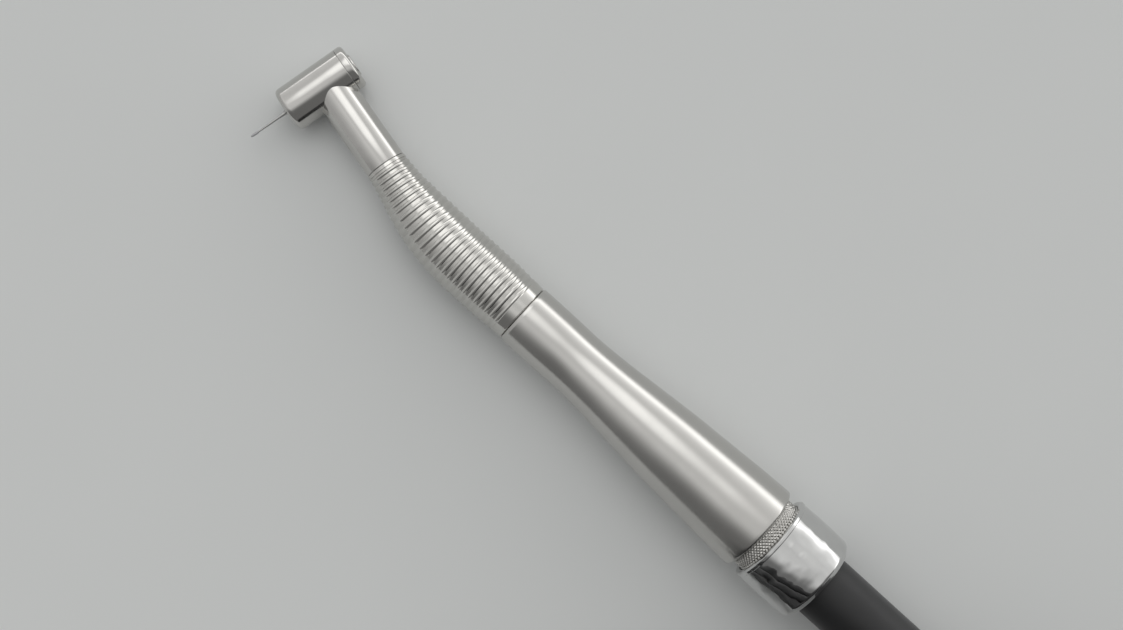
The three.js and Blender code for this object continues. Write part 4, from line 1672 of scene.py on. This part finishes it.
# ---- Studio ----------------------------------------------------------------------------------
@dataclass(frozen=True)
class Studio:
    """The pale floor, the soft light all round and the camera above."""

    lens: float = 50.0
    sensor: float = 36.0
    height: float = 281.0
    over: tuple[float, float] = (4.55, 5.5)
    turn: float = math.radians(42.3)
    floor_side: float = 6.0
    ramp: tuple[tuple[float, float], ...] = (
        (-90, 0.50), (-60, 0.50), (-40, 0.60), (-16, 0.84), (0, 0.74), (12, 0.70), (26, 0.78),
        (40, 0.76), (54, 0.86), (66, 1.10), (74, 1.75), (79, 2.15), (84, 1.70), (90, 0.95))
    dark: float = 0.18
    dark_way: tuple[float, float] = (0.85, -0.52)
    dark_edge: tuple[float, float] = (0.12, 0.48)
    patch: tuple[float, float, float] = (-0.35, 0.35, 0.87)
    patch_edge: tuple[float, float] = (0.895, 0.975)
    patch_light: float = 0.85
    tint: tuple[float, float, float] = (1.0, 1.0, 0.99)
    paper: tuple[tuple[float, ...], tuple[float, ...]] = ((0.695, 0.708, 0.704, 1),
                                                          (0.712, 0.725, 0.721, 1))

    def camera(self) -> None:
        """Puts up the camera, looking squarely at the plane that the handle and head lie in."""
        data = bpy.data.cameras.new("camera")
        data.lens, data.sensor_width = self.lens, self.sensor
        data.clip_start, data.clip_end = 0.01, 20.0
        camera = bpy.data.objects.new("camera", data)
        across, up, along = (PLACES.handle.col[i].to_3d().normalized() for i in range(3))
        right = along * math.cos(self.turn) + across * math.sin(self.turn)
        turn = Matrix((right, up.cross(right), up)).transposed()
        camera.location = PLACES.handle @ Vector((self.over[0], self.height, self.over[1]))
        camera.rotation_euler = turn.to_euler()
        bpy.context.scene.collection.objects.link(camera)
        bpy.context.scene.camera = camera
        LOG.info("camera: %.0f mm lens, %.0f mm away", self.lens, self.height)

    def floor(self) -> None:
        """Lays the pale floor."""
        mesh = bmesh.new()
        bmesh.ops.create_grid(mesh, x_segments=2, y_segments=2, size=self.floor_side / 2)
        data = bpy.data.meshes.new("studio_floor")
        mesh.to_mesh(data)
        mesh.free()
        paper = bpy.data.materials.new("pale paper")
        paper.use_nodes = True
        board = Board(paper.node_tree)
        shader = paper.node_tree.nodes["Principled BSDF"]
        shader.inputs["Roughness"].default_value = 0.95
        shader.inputs["Specular IOR Level"].default_value = 0.1
        mottle = board.cloud(board.add("ShaderNodeTexCoord").outputs["Object"], 30.0, 2.0)
        board.feed(shader.inputs["Base Color"], board.blend(mottle, *self.paper))
        data.materials.append(paper)
        floor = bpy.data.objects.new("studio_floor", data)
        bpy.context.scene.collection.objects.link(floor)

    def light(self) -> None:
        """Lights the scene from a soft surround, bright to one side and dark to the other."""
        world = bpy.data.worlds.new("soft surround")
        bpy.context.scene.world = world
        world.use_nodes = True
        board = Board(world.node_tree)
        parts = board.add("ShaderNodeSeparateXYZ")
        direction = board.add("ShaderNodeTexCoord").outputs["Generated"]
        board.feed(parts.inputs[0], direction)
        x, y, z = parts.outputs
        tilt = board.math("ARCTAN2", y, z)
        where = board.spread(tilt, -math.pi / 2, math.pi / 2, kind="LINEAR")
        ramp = board.add("ShaderNodeValToRGB")
        peak = max(value for _, value in self.ramp)
        stops = ramp.color_ramp.elements
        while len(stops) < len(self.ramp):
            stops.new(0.5)
        for stop, (degrees, value) in zip(stops, self.ramp):
            stop.position = (degrees + 90) / 180
            stop.color = (value / peak, value / peak, value / peak, 1)
        board.feed(ramp.inputs[0], where)
        shade = board.math("MULTIPLY", ramp.outputs[0], peak)
        glow = board.add("ShaderNodeVectorMath", operation="DOT_PRODUCT")
        board.feed(glow.inputs[0], direction)
        glow.inputs[1].default_value = self.patch
        patch = board.spread(glow.outputs["Value"], *self.patch_edge)
        shade = board.math("MULTIPLY_ADD", patch, self.patch_light, shade)
        # The side of the room beyond the hose is dark, with a soft straight edge across the sky.
        toward = board.math("ADD", board.math("MULTIPLY", x, self.dark_way[0]),
                            board.math("MULTIPLY", y, self.dark_way[1]))
        near_side = board.spread(toward, *self.dark_edge)
        shade = board.math("ADD", board.math("MULTIPLY", near_side, self.dark),
                           board.math("MULTIPLY", board.math("SUBTRACT", 1.0, near_side), shade))
        background = world.node_tree.nodes["Background"]
        tint = board.add("ShaderNodeCombineColor")
        for socket, share in zip(tint.inputs, self.tint):
            board.feed(socket, board.math("MULTIPLY", shade, share))
        board.feed(background.inputs["Color"], tint.outputs[0])
        background.inputs["Strength"].default_value = 1.0
        bpy.context.scene.view_settings.view_transform = "Standard"
        LOG.info("soft surround: brightest %.1f", peak)


def main() -> None:
    """Builds the handpiece and its surroundings."""
    logging.basicConfig(level=logging.INFO, format="%(name)s: %(message)s")
    studio = Studio()
    studio.camera()
    for assembly in (UnitConnector(), Hose(), TurbineHead(), Grip(), Handle(), RearConnector(),
                     Turbine(), Bur(), HeadCap(), Coupling()):
        assembly.build()
    studio.floor()
    studio.light()


if __name__ == "__main__":
    main()
